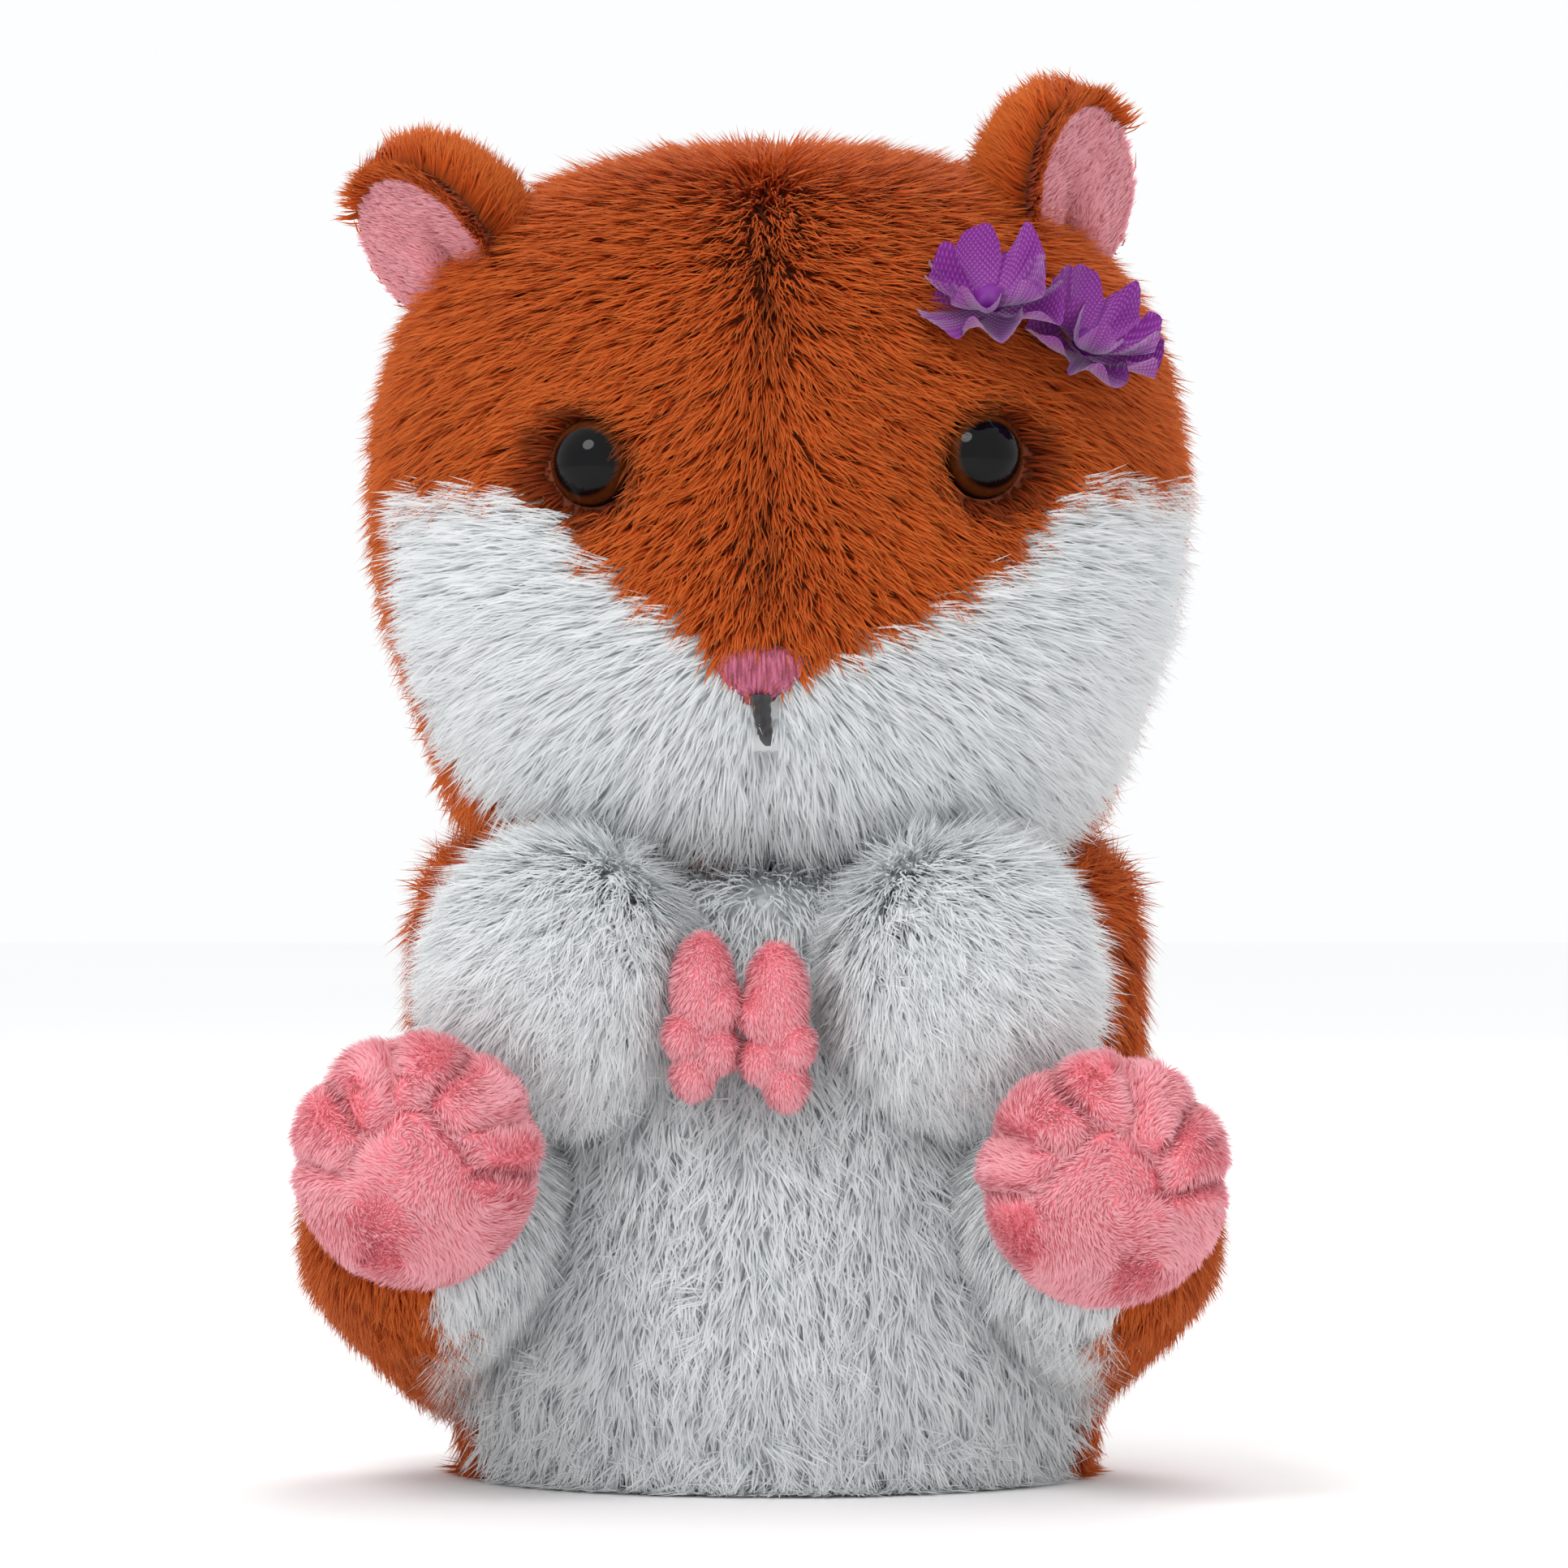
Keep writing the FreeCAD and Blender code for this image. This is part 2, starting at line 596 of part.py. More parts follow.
def torso_back():
    """The back half, with through bosses, sunk screw heads and the loudspeaker grille."""
    half = torso_casing().common(box(-50, 50, 0, 50, 0, torso_top + 5))
    inside = torso_inside[1] + torso_wall / 2
    half = half.fuse([rod(boss_radius, (x, 0, z), Y_AXIS, inside) for x, z in boss_places]).removeSplitter()
    for x, z in boss_places:
        half = half.cut(rod(screw_radius + screw_clearance, (x, -1, z), Y_AXIS, torso_half[1] + 2))
        half = half.cut(rod(screw_head_radius + 0.2, (x, torso_half[1] - screw_head_height - screw_head_sink, z), Y_AXIS, 5))
    for x, z in grille_places():
        half = half.cut(rod(grille_hole_radius, (x, torso_inside[1] - 1, z), Y_AXIS, torso_wall + 2))
    return half


def casing_screws():
    """Four screws from the back, each with a cross recess."""
    screws = []
    for x, z in boss_places:
        back = torso_half[1] - screw_head_sink
        head = rod(screw_head_radius, (x, back - screw_head_height, z), Y_AXIS, screw_head_height)
        shank = rod(screw_radius, (x, -screw_reach, z), Y_AXIS, screw_reach + back - 0.5)
        cross = box(x - 1.4, x + 1.4, back - 0.6, back + 1, z - 0.25, z + 0.25)
        cross = cross.fuse(box(x - 0.25, x + 0.25, back - 0.6, back + 1, z - 1.4, z + 1.4))
        screws.append(head.fuse(shank).cut(cross))
    return Part.makeCompound(screws)


def gear_deck():
    """The plate across the casing that carries the motor below and the axles above."""
    inset = torso_wall - groove_depth + 0.15
    deck = torso_block(inset, 0.0).common(
        box(-50, 50, -50, 50, deck_bottom, deck_bottom + deck_thickness))
    holes = [
        (motor_nose_radius + 0.1, motor_axis),
        (axle_radius, first_axle),
        (axle_radius, second_axle),
        (2.5, (-24.0, 14.0)),
    ]
    for radius, (x, y) in holes:
        deck = deck.cut(rod(radius, (x, y, deck_bottom - 1), Z_AXIS, deck_thickness + 2))
    return deck


def gear_axles():
    """Two steel pins pressed into the deck. The second also runs up to the casing's top."""
    first = rod(axle_radius, (*first_axle, deck_bottom), Z_AXIS, level_3 - 0.8 - deck_bottom)
    second = rod(axle_radius, (*second_axle, deck_bottom), Z_AXIS, torso_top - torso_wall - deck_bottom)
    return Part.makeCompound([first, second])


def motor():
    """A small flat-sided motor can with its front nose, back cap and two tags."""
    x, y = motor_axis
    low = deck_bottom - motor_length
    can = rod(motor_radius, (x, y, low + 3), Z_AXIS, motor_length - 3)
    can = can.common(box(x - 20, x + 20, y - motor_flat, y + motor_flat, 0, 100))
    nose = rod(motor_nose_radius, (x, y, deck_bottom - 0.5), Z_AXIS, motor_nose_height + 0.5)
    cap = rod(motor_radius - 1.2, (x, y, low), Z_AXIS, 3)
    cap = cap.common(box(x - 20, x + 20, y - motor_flat + 0.8, y + motor_flat - 0.8, 0, 100))
    tags = [box(x + s * 6 - 0.9, x + s * 6 + 0.9, y - 0.2, y + 0.2, low - 3, low + 0.5) for s in (-1, 1)]
    body = can.fuse([nose, cap] + tags).removeSplitter()
    return body.cut(rod(axle_radius + running_gap, (x, y, deck_bottom - 8), Z_AXIS, 20))


def motor_shaft():
    """The motor's own shaft, which turns the first pinion."""
    return rod(axle_radius, (*motor_axis, deck_bottom - 7.5), Z_AXIS, level_1 + gear_height + 0.5 - deck_bottom + 7.5)


def motor_pinion():
    """The brass-coloured pinion on the motor's shaft."""
    pinion = gear(pinion_teeth, fine_module, 1.0, 0.9, level_1, gear_height, axle_radius, motor_bearing - 180.0)
    return moved(pinion, *motor_axis)


def compound_gear(axle, low_z, wheel_toward, pinion_module, pinion_toward, pinion_height):
    """A wheel with a pinion moulded on top, on one bore."""
    bore = axle_radius + running_gap
    wheel = gear(wheel_teeth, fine_module, 0.6, 1.25, low_z, gear_height, bore, wheel_toward + 180.0 / wheel_teeth)
    pinion = gear(pinion_teeth, pinion_module, 1.0, 0.9, low_z + gear_height, pinion_height, bore, pinion_toward)
    return moved(wheel.fuse(pinion), *axle)


def first_gear():
    """Driven by the motor pinion, drives the second gear."""
    return compound_gear(first_axle, level_1, motor_bearing, fine_module, first_wheel_bearing - 180.0,
                         gear_height + gear_step)


def second_gear():
    """Driven by the first gear, drives the neck gear."""
    return compound_gear(second_axle, level_2, first_wheel_bearing, coarse_module,
                         second_wheel_bearing - 180.0, gear_height + gear_step)


def neck_gear():
    """The large last wheel, fixed on the head frame's spigot under the bearing."""
    return gear(neck_teeth, coarse_module, 0.6, 1.25, level_3, gear_height, spigot_radius - 2.0,
                second_wheel_bearing + 180.0 / neck_teeth)


def neck_bush():
    """The slippery ring that the neck turns in, with a lip on the casing's top."""
    high = torso_top + 0.6
    bush = rod(bush_radius, (0, 0, torso_top - torso_wall), Z_AXIS, torso_wall)
    lip = rod(bush_radius + 2.0, (0, 0, torso_top), Z_AXIS, 0.6)
    return bush.fuse(lip).cut(rod(spigot_radius + running_gap, (0, 0, 0), Z_AXIS, high + 1))


def neck_spigot():
    """The hollow spigot with a smaller seat for the neck gear at its lower end."""
    top = flange_z + 0.5
    seat = rod(spigot_radius - 2.0, (0, 0, level_3), Z_AXIS, gear_height + 0.5)
    post = rod(spigot_radius, (0, 0, level_3 + gear_height), Z_AXIS, top - level_3 - gear_height)
    return seat.fuse(post)


def skull_outside(grow=0.0):
    """The head frame's closed outside above the flange, grown by a clearance."""
    outline = [
        (0, flange_z + flange_thickness - 1), (neck_radius + grow, flange_z + flange_thickness - 1),
        (neck_radius + grow, skull_base_z - grow), (skull_radius + grow, skull_wide_z - grow),
        (skull_radius + grow, skull_shoulder_z + grow), (skull_top_radius + grow, skull_top_z + grow),
        (0, skull_top_z + grow),
    ]
    points = [Vector(r, 0, z) for r, z in outline]
    return Part.Face(Part.makePolygon(points + points[:1])).revolve(Vector(), Z_AXIS, 360)


def skull_inside():
    """The hollow of the head frame."""
    w = skull_wall
    outline = [
        (0, skull_base_z + w), (neck_radius - w, skull_base_z + w), (skull_radius - w, skull_wide_z + w),
        (skull_radius - w, skull_shoulder_z - w / 2), (skull_top_radius - w / 2, skull_top_z - w),
        (0, skull_top_z - w),
    ]
    points = [Vector(r, 0, z) for r, z in outline]
    return Part.Face(Part.makePolygon(points + points[:1])).revolve(Vector(), Z_AXIS, 360)


def head_cup():
    """The lower head frame: spigot, flange and the cup that holds up the head."""
    low = skull_outside().cut(skull_inside()).common(
        Part.makeCylinder(60, skull_split_z - 60, Vector(0, 0, 60)))
    flange = rod(flange_radius, (0, 0, flange_z), Z_AXIS, flange_thickness)
    cup = low.fuse([flange, neck_spigot()]).removeSplitter()
    cup = cup.cut(rod(spigot_bore, (0, 0, level_3 - 5), Z_AXIS, 40))
    lap = rod(skull_radius - skull_wall / 2, (0, 0, skull_split_z - lap_height), Z_AXIS, lap_height)
    return cup.cut(lap)


def head_cap():
    """The upper head frame, which snaps into the cup and carries the crown button's ring."""
    high = skull_outside().cut(skull_inside()).common(
        Part.makeCylinder(60, 60, Vector(0, 0, skull_split_z)))
    rim = tube(skull_radius - skull_wall / 2 - 0.1, skull_radius - skull_wall,
               (0, 0, skull_split_z - lap_height + 0.1), Z_AXIS, lap_height)
    ring = tube(guide_radius, guide_radius - guide_wall, (0, 0, skull_top_z - 0.5), Z_AXIS, guide_height + 0.5)
    cap = high.fuse([rim, ring]).removeSplitter()
    return cap.cut(rod(1.5, (0, 6.0, skull_top_z - 5), Z_AXIS, 10))


def button_cap():
    """A touch cap standing on z 0 as its ring's foot, with a skirt that slides over the ring."""
    low = cap_lift
    skirt = tube(cap_radius, guide_radius + slide_gap, (0, 0, low), Z_AXIS, guide_height + cap_top)
    top = rod(cap_radius, (0, 0, guide_height + cap_lift), Z_AXIS, cap_top)
    cap = skirt.fuse(top).removeSplitter()
    rim = [e for e in cap.Edges if abs(e.BoundBox.ZMin - button_height) < 1e-6]
    return cap.makeFillet(0.8, rim)


def tact_switch():
    """The small push switch inside a ring, standing on z 0."""
    half = tact_body / 2
    body = box(-half, half, -half, half, 0, tact_height)
    return body.fuse(rod(1.6, (0, 0, tact_height), Z_AXIS, tact_plunger))


def on_belly(shape):
    """Carries a part built on z 0 to the front casing, pointing forward."""
    shape.rotate(Vector(), X_AXIS, 90.0)
    return moved(shape, 0, -torso_half[1], belly_button_z)


def on_crown(shape):
    """Carries a part built on z 0 to the top of the head frame."""
    return moved(shape, 0, 0, skull_top_z)


def circuit_board():
    """The main board, held in the back casing's side grooves."""
    half_x = torso_inside[0] + groove_depth - 0.15
    board = box(-half_x, half_x, board_y, board_y + board_thickness, *board_z)
    for x, z in boss_places:
        board = board.cut(rod(boss_radius + 0.4, (x, 0, z), Y_AXIS, 30))
    return board


def board_parts():
    """What stands on the board: the sound chip's blob, a capacitor, a regulator and two plugs."""
    front = board_y
    blob = ellipsoid((18.0, front, 48.0), (5.0, 1.6, 5.0)).common(box(0, 30, 0, front, 40, 56))
    capacitor = rod(3.0, (-18.0, front, 50.0), (0, -1, 0), 6.0)
    regulator = box(-22, -17, front - 1.8, front, 38, 44)
    plugs = [box(x - 3, x + 3, front - 5.0, front, 23, 28) for x in (-14.0, 14.0)]
    return Part.makeCompound([blob, capacitor, regulator] + plugs)


def speaker():
    """The loudspeaker: a basket behind the grille with its magnet toward the board."""
    back = torso_inside[1]
    rim = rod(speaker_radius, (0, back - 2.4, speaker_z), Y_AXIS, 2.4)
    cone = Part.makeCone(9.0, speaker_radius - 2, 3.2, Vector(0, back - 5.6, speaker_z), Y_AXIS)
    magnet = rod(9.0, (0, back - speaker_depth, speaker_z), Y_AXIS, speaker_depth - 5.6)
    body = rim.fuse([cone, magnet]).removeSplitter()
    dish = Part.makeCone(5.0, speaker_radius - 3, 2.0, Vector(0, back - 2.0, speaker_z), Y_AXIS)
    return body.cut(dish)


def microphone():
    """A small capsule in the front casing."""
    x, z = microphone_place
    return rod(microphone_radius, (x, -torso_half[1] - 0.4, z), Y_AXIS, microphone_length)


# ---- plush body --------------------------------------------------------------------------------
def hip_room():
    """The space that both legs need beside the body over their whole swing."""
    x, y, z = leg_hip
    beside = min(x - inward - half for distance, half, inward in leg_rings if distance < 20) - hip_recess_gap
    nearest = min(x - inward - half for distance, half, inward in leg_rings) - hip_recess_gap
    low, high = -1.0, z + hip_recess_radius + 12
    left = rod(hip_recess_radius, (beside, y, z), X_AXIS, 40)
    left = left.fuse(box(beside, beside + 40, y - 60, y, low, high))
    left = left.fuse(box(nearest, nearest + 40, y - 60, hip_front_y, low, high))
    return left.fuse(mirrored(left))


def torso_room():
    """What the cover and the stuffing leave free for the casing."""
    return rounded_block(torso_half[0] + loose_gap, torso_half[1] + loose_gap, -1,
                         torso_top + loose_gap, torso_corner + loose_gap)


def body_cover():
    """The whole body cover as one skin, open at the base and the neck."""
    skin = bag(body_rings).cut(bag(body_rings, cover_thickness))
    opening = rounded_block(base_half[0] + soft_gap, base_half[1] + soft_gap, -1, 8, base_corner)
    neck = rod(flange_radius + 1.5, (0, 0, torso_top - 7), Z_AXIS, 20)
    return skin.cut(opening).cut(neck).cut(torso_room()).cut(hip_room())


def largest(shape):
    """The largest solid of a cut shape, without the scraps that the cuts left."""
    return max(shape.Solids, key=lambda solid: solid.Volume)


def belly_cover():
    """The white front panel."""
    return largest(body_cover().common(box(-90, 90, -90, belly_seam_y, -5, body_top + 10)))


def back_cover():
    """The orange back panel, which wraps round the sides."""
    return largest(body_cover().common(box(-90, 90, belly_seam_y, 90, -5, body_top + 10)))


def body_stuffing():
    """Fibre between the cover and the casing."""
    filling = bag(body_rings, cover_thickness + soft_gap + fibre_slack)
    filling = filling.common(box(-90, 90, -90, 90, base_thickness + 0.5, body_top + 10))
    filling = filling.cut(torso_room())
    filling = filling.cut(rod(flange_radius + 1.5, (0, 0, torso_top - 7), Z_AXIS, 20))
    filling = filling.cut(rod(cap_radius + 0.6, (0, -torso_half[1] - button_height - 0.6, belly_button_z),
                              Y_AXIS, 20))
    return filling.cut(hip_room())


def tail():
    """A short stuffed stub low on the back."""
    stub = ellipsoid(tail_place, tail_half)
    return stub.cut(bag(body_rings, -soft_gap))


# ---- plush head --------------------------------------------------------------------------------
def cheek_zone(side):
    """The prism under one cheek panel's upper edge, from the centre seam outward."""
    edge = [(x, neck_z + rise) for x, rise in cheek_edge[side]]
    nose_z = neck_z + nose_above_neck
    outline = edge + [(nose_x, nose_z), (nose_x, neck_z - 10), (edge[0][0], neck_z - 10)]
    if side == "right":
        outline.reverse()
    points = [Vector(x, -90, z) for x, z in outline]
    return Part.Face(Part.makePolygon(points + points[:1])).extrude(Vector(0, 90 + cheek_seam_y[side], 0))


def eye_frame(shape, side):
    """Carries a part built on z 0 and pointing up onto the face at an eye, pointing outward."""
    x, rise, turn = eye_places[side]
    z = neck_z + rise
    y = front_surface_y(bag(head_rings), x, z)
    shape.rotate(Vector(), X_AXIS, 90.0)
    shape.rotate(Vector(), Z_AXIS, turn)
    return moved(shape, x, y + 1.2, z)


def eye_room(side):
    """What the cover and the stuffing leave free for an eye, its shank and its washer."""
    dome = rod(eye_radius + 0.3, (0, 0, 0), Z_AXIS, 8)
    shank = rod(eye_shank_radius + 0.2, (0, 0, -eye_shank_length - 0.5), Z_AXIS, eye_shank_length + 1)
    washer = rod(washer_radius + 0.3, (0, 0, -8.2), Z_AXIS, washer_thickness + 0.6)
    return eye_frame(dome.fuse([shank, washer]), side)


def eye(side):
    """A glossy dome on a ribbed shank."""
    ball_radius = (eye_radius ** 2 + eye_bulge ** 2) / (2 * eye_bulge)
    ball = Part.makeSphere(ball_radius, Vector(0, 0, eye_bulge - ball_radius))
    dome = ball.common(rod(eye_radius, (0, 0, 0), Z_AXIS, eye_bulge + 1))
    shank = rod(eye_shank_radius, (0, 0, -eye_shank_length), Z_AXIS, eye_shank_length + 0.5)
    return eye_frame(dome.fuse(shank).removeSplitter(), side)


def eye_washer(side):
    """The locking washer behind the cover."""
    ring = tube(washer_radius, eye_shank_radius + 0.05, (0, 0, -7.9), Z_AXIS, washer_thickness)
    return eye_frame(ring, side)


def head_cover():
    """The whole head cover as one skin, open at the neck, with holes for the eyes."""
    skin = bag(head_rings).cut(bag(head_rings, cover_thickness))
    skin = skin.cut(skull_outside(loose_gap))
    for side in eye_places:
        skin = skin.cut(eye_room(side))
    return skin


def crown_cover(skin):
    """The orange panel over the crown, the muzzle's bridge and the back of the head."""
    return skin.cut(cheek_zone("left")).cut(cheek_zone("right"))


def cheek_cover(skin, side):
    """One white cheek panel, from the centre seam to the side of the face."""
    return skin.common(cheek_zone(side))


def head_stuffing():
    """Fibre between the head cover and the head frame."""
    filling = bag(head_rings, cover_thickness + soft_gap)
    filling = filling.cut(skull_outside(loose_gap))
    filling = filling.cut(rod(cap_radius + 0.6, (0, 0, skull_top_z - 1), Z_AXIS, button_height + 1.6))
    for side in eye_places:
        filling = filling.cut(eye_room(side))
    return filling


def on_the_face(outline):
    """A thin patch on the outside of the head within an outline of x and z points."""
    points = [Vector(x, -90, z) for x, z in outline]
    prism = Part.Face(Part.makePolygon(points + points[:1])).extrude(Vector(0, 70, 0))
    layer = bag(head_rings, -thread_thickness).cut(bag(head_rings, -0.05))
    return layer.common(prism)


def nose():
    """The embroidered triangle at the lower end of the bridge."""
    top = neck_z + nose_above_neck + nose_rise
    return on_the_face([
        (nose_x - nose_width / 2, top), (nose_x - nose_width / 2 + 0.5, top - 2.5),
        (nose_x - 1.2, top - nose_height), (nose_x + 1.2, top - nose_height),
        (nose_x + nose_width / 2 - 0.5, top - 2.5), (nose_x + nose_width / 2, top),
    ])


def mouth():
    """The short upright stitch under the nose."""
    top = neck_z + nose_above_neck + nose_rise - 0.2 - nose_height
    half = mouth_width / 2
    return on_the_face([(nose_x - half, top), (nose_x - half, top - mouth_length),
                        (nose_x + half, top - mouth_length), (nose_x + half, top)])


def ear_parts(side):
    """The fur back and the pink lining of one ear, split on the ear's own plane."""
    ear = ears[side]
    back = ellipsoid((0, 0, 0), (ear["width"], ear_thickness, ear["height"]))
    back = back.common(box(-50, 50, 0.15, 50, -50, 50))
    lining = ellipsoid((0, 0, -1.0), (ear["width"] - 2.5, ear_lining_thickness, ear["height"] - 2.5))
    dish = ellipsoid((0, -4.6, -2.0), (ear["width"] * 0.45, 3.4, ear["height"] * 0.5))
    lining = lining.common(box(-50, 50, -50, -0.15, -50, 50)).cut(dish)
    made = []
    for shape in (back, lining):
        shape.rotate(Vector(), Z_AXIS, ear["twist"])
        shape.rotate(Vector(), Y_AXIS, ear["lean"])
        x, y, rise = ear["centre"]
        shape.translate(Vector(x, y, neck_z + rise))
        made.append(shape.cut(bag(head_rings, -soft_gap)))
    return made


# ---- flower ------------------------------------------------------------------------------------
def petal_layer(radius, z, turn):
    """One cut layer of round petals joined at the middle."""
    lobe = radius * 0.42
    petals = []
    for i in range(flower_petals):
        x, y = polar((0, 0), radius - lobe, turn + i * 360 / flower_petals)
        petals.append(Part.makeCylinder(lobe, petal_thickness, Vector(x, y, z)))
    centre = Part.makeCylinder(radius * 0.4, petal_thickness, Vector(0, 0, z))
    return centre.fuse(petals).removeSplitter()


def on_flowers(make):
    """The part that make builds on z 0, once for each flower, carried to its place by the ear."""
    made = []
    for flower in flowers:
        shape = make()
        shape.rotate(Vector(), X_AXIS, 90.0 + flower_tilt)
        shape.rotate(Vector(), Z_AXIS, flower["turn"])
        x, y, rise = flower["centre"]
        made.append(moved(shape, x, y, neck_z + rise).cut(bag(head_rings, -soft_gap)))
    return Part.makeCompound(made)


def flower_outer():
    """The larger layer of petals of each flower."""
    return on_flowers(lambda: petal_layer(flower_radius, 0.0, 18.0))


def flower_inner():
    """The smaller layer of petals on top of it."""
    return on_flowers(lambda: petal_layer(flower_radius * 0.74, flower_layer_gap, 54.0))


def flower_bead():
    """The gathered middle above the petals."""
    level = flower_layer_gap + petal_thickness
    ball = ellipsoid((0, 0, level), (flower_knot_radius, flower_knot_radius, 1.6))
    return ball.common(box(-9, 9, -9, 9, level, 20))


def flower_stem():
    """The stitch between the two layers."""
    return Part.makeCylinder(flower_knot_radius * 0.6, flower_layer_gap - petal_thickness,
                             Vector(0, 0, petal_thickness))


def flower_knots():
    """The stitches that hold each flower's layers together."""
    return Part.makeCompound([on_flowers(flower_stem), on_flowers(flower_bead)])


# ---- limbs --------------------------------------------------------------------------------------
def hand(side):
    """A pink paw with three round fingers along its lower edge."""
    x, y, z = hand_centre[side]
    palm = ellipsoid((x, y, z), hand_half)
    fingers = [
        Part.makeSphere(finger_radius, Vector(x + shift, y, z - drop))
        for shift, drop in ((-1.9, 7.2), (0.2, 9.4), (1.9, 5.2))
    ]
    return palm.fuse(fingers)


def arm(side):
    """A white stuffed sleeve in front of the chest, hollowed where its hand comes out."""
    way = 1 if side == "left" else -1
    x, y, z = arm_centre
    sleeve = ellipsoid((way * x, y, z), arm_half)
    hx, hy, hz = hand_centre[side]
    room = ellipsoid((hx, hy, hz), [h + soft_gap for h in hand_half])
    fingers = box(hx - 8, hx + 8, hy - 8, hy + 8, hz - 22, hz - 3)
    return sleeve.cut(room).cut(fingers).cut(bag(body_rings, -arm_gap))


def foot(side):
    """A pink stuffed foot with its sole to the front."""
    return ellipsoid(foot_place[side], foot_half)


def leg(side):
    """A plump stuffed leg that points forward and a little up, hollowed to seat its foot."""
    way = 1 if side == "left" else -1
    x, y, z = leg_hip
    form = limb(leg_rings, (way * x, y, z), leg_rise, leg_height_ratio, way)
    return form.cut(ellipsoid(foot_place[side], [h + soft_gap for h in foot_half]))


def build():
    """Every piece by node name."""
    skin = head_cover()
    pieces = {
        "base_plate": base_plate(),
        "battery_door": battery_door(),
        "battery_door_screw": battery_door_screw(),
        "battery_tray": battery_tray(),
        "battery_cells": battery_cells(),
        "battery_contacts": battery_contacts(),
        "power_slider": power_slider(),
        "switch_housing": switch_housing(),
        "torso_front": torso_front(),
        "torso_back": torso_back(),
        "casing_screws": casing_screws(),
        "gear_deck": gear_deck(),
        "gear_axles": gear_axles(),
        "motor": motor(),
        "motor_shaft": motor_shaft(),
        "motor_pinion": motor_pinion(),
        "first_gear": first_gear(),
        "second_gear": second_gear(),
        "neck_gear": neck_gear(),
        "neck_bush": neck_bush(),
        "head_cup": head_cup(),
        "head_cap": head_cap(),
        "belly_button": on_belly(button_cap()),
        "belly_switch": on_belly(tact_switch()),
        "crown_button": on_crown(button_cap()),
        "crown_switch": on_crown(tact_switch()),
        "circuit_board": circuit_board(),
        "board_parts": board_parts(),
        "speaker": speaker(),
        "microphone": microphone(),
        "belly_cover": belly_cover(),
        "back_cover": back_cover(),
        "body_stuffing": body_stuffing(),
        "tail": tail(),
        "crown_cover": crown_cover(skin),
        "left_cheek_cover": cheek_cover(skin, "left"),
        "right_cheek_cover": cheek_cover(skin, "right"),
        "head_stuffing": head_stuffing(),
        "nose": nose(),
        "mouth": mouth(),
        "flower_outer": flower_outer(),
        "flower_inner": flower_inner(),
        "flower_knots": flower_knots(),
    }
    for side in ("left", "right"):
        pieces[f"{side}_eye"] = eye(side)
        pieces[f"{side}_eye_washer"] = eye_washer(side)
        pieces[f"{side}_ear"], pieces[f"{side}_ear_lining"] = ear_parts(side)
        pieces[f"{side}_arm"] = arm(side)
        pieces[f"{side}_hand"] = hand(side)
        pieces[f"{side}_leg"] = leg(side)
        pieces[f"{side}_foot"] = foot(side)
    return pieces


def main():
    """Builds every piece and writes one STEP file for each."""
    os.makedirs(OUT_FOLDER, exist_ok=True)
    for name, shape in build().items():
        solids = shape.Solids
        if not solids:
            raise RuntimeError(f"{name} has no solid")
        whole = solids[0] if len(solids) == 1 else Part.makeCompound(solids)
        if not whole.isValid():
            raise RuntimeError(f"{name} isn't a valid solid")
        whole.exportStep(os.path.join(OUT_FOLDER, name + ".step"))
        if PRINT_SIZES:
            print(f"{name}: {len(solids)} solid(s), {whole.Volume / 1000:.2f} cm3")


main()
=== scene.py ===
import json
import math

import bpy
import numpy as np
from mathutils import Matrix, Vector
from mathutils.bvhtree import BVHTree
from mathutils.kdtree import KDTree

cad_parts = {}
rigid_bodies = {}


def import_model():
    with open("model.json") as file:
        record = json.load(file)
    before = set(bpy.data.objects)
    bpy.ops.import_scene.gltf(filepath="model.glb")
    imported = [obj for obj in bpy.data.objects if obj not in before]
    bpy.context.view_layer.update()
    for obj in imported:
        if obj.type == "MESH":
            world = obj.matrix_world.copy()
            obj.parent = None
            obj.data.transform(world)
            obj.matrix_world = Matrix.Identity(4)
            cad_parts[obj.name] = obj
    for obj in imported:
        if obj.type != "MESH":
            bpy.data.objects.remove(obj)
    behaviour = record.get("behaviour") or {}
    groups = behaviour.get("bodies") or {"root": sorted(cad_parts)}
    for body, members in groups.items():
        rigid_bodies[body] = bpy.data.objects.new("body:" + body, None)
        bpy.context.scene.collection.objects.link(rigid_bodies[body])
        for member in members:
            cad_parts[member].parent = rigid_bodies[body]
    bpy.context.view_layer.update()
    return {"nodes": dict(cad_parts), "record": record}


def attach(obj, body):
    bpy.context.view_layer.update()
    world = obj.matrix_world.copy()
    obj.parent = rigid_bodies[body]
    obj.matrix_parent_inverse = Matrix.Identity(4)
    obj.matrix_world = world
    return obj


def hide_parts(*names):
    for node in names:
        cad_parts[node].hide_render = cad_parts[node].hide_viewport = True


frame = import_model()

bl_info = {
    "name": "Plush hamster",
    "version": (1, 0, 0),
    "blender": (4, 5, 0),
    "location": "View3D > Sidebar > Hamster",
    "description": "Builds the pile, eyes, flowers and finishes of a sitting plush hamster",
    "category": "Add Mesh",
}

MM = 0.001
BAKE_MAP = "OFBake"
TINTS = 16.0              # tints of the pile, side by side on the fibre map
FLOOR_GAP = 0.3           # no pile tip comes nearer to the floor than this, in millimetres


def linear(red, green, blue):
    """Display values from 0 to 255 as a linear colour."""
    shares = (red / 255, green / 255, blue / 255)
    return tuple(((v + 0.055) / 1.055) ** 2.4 if v > 10 / 255 else v / 12.92 for v in shares)


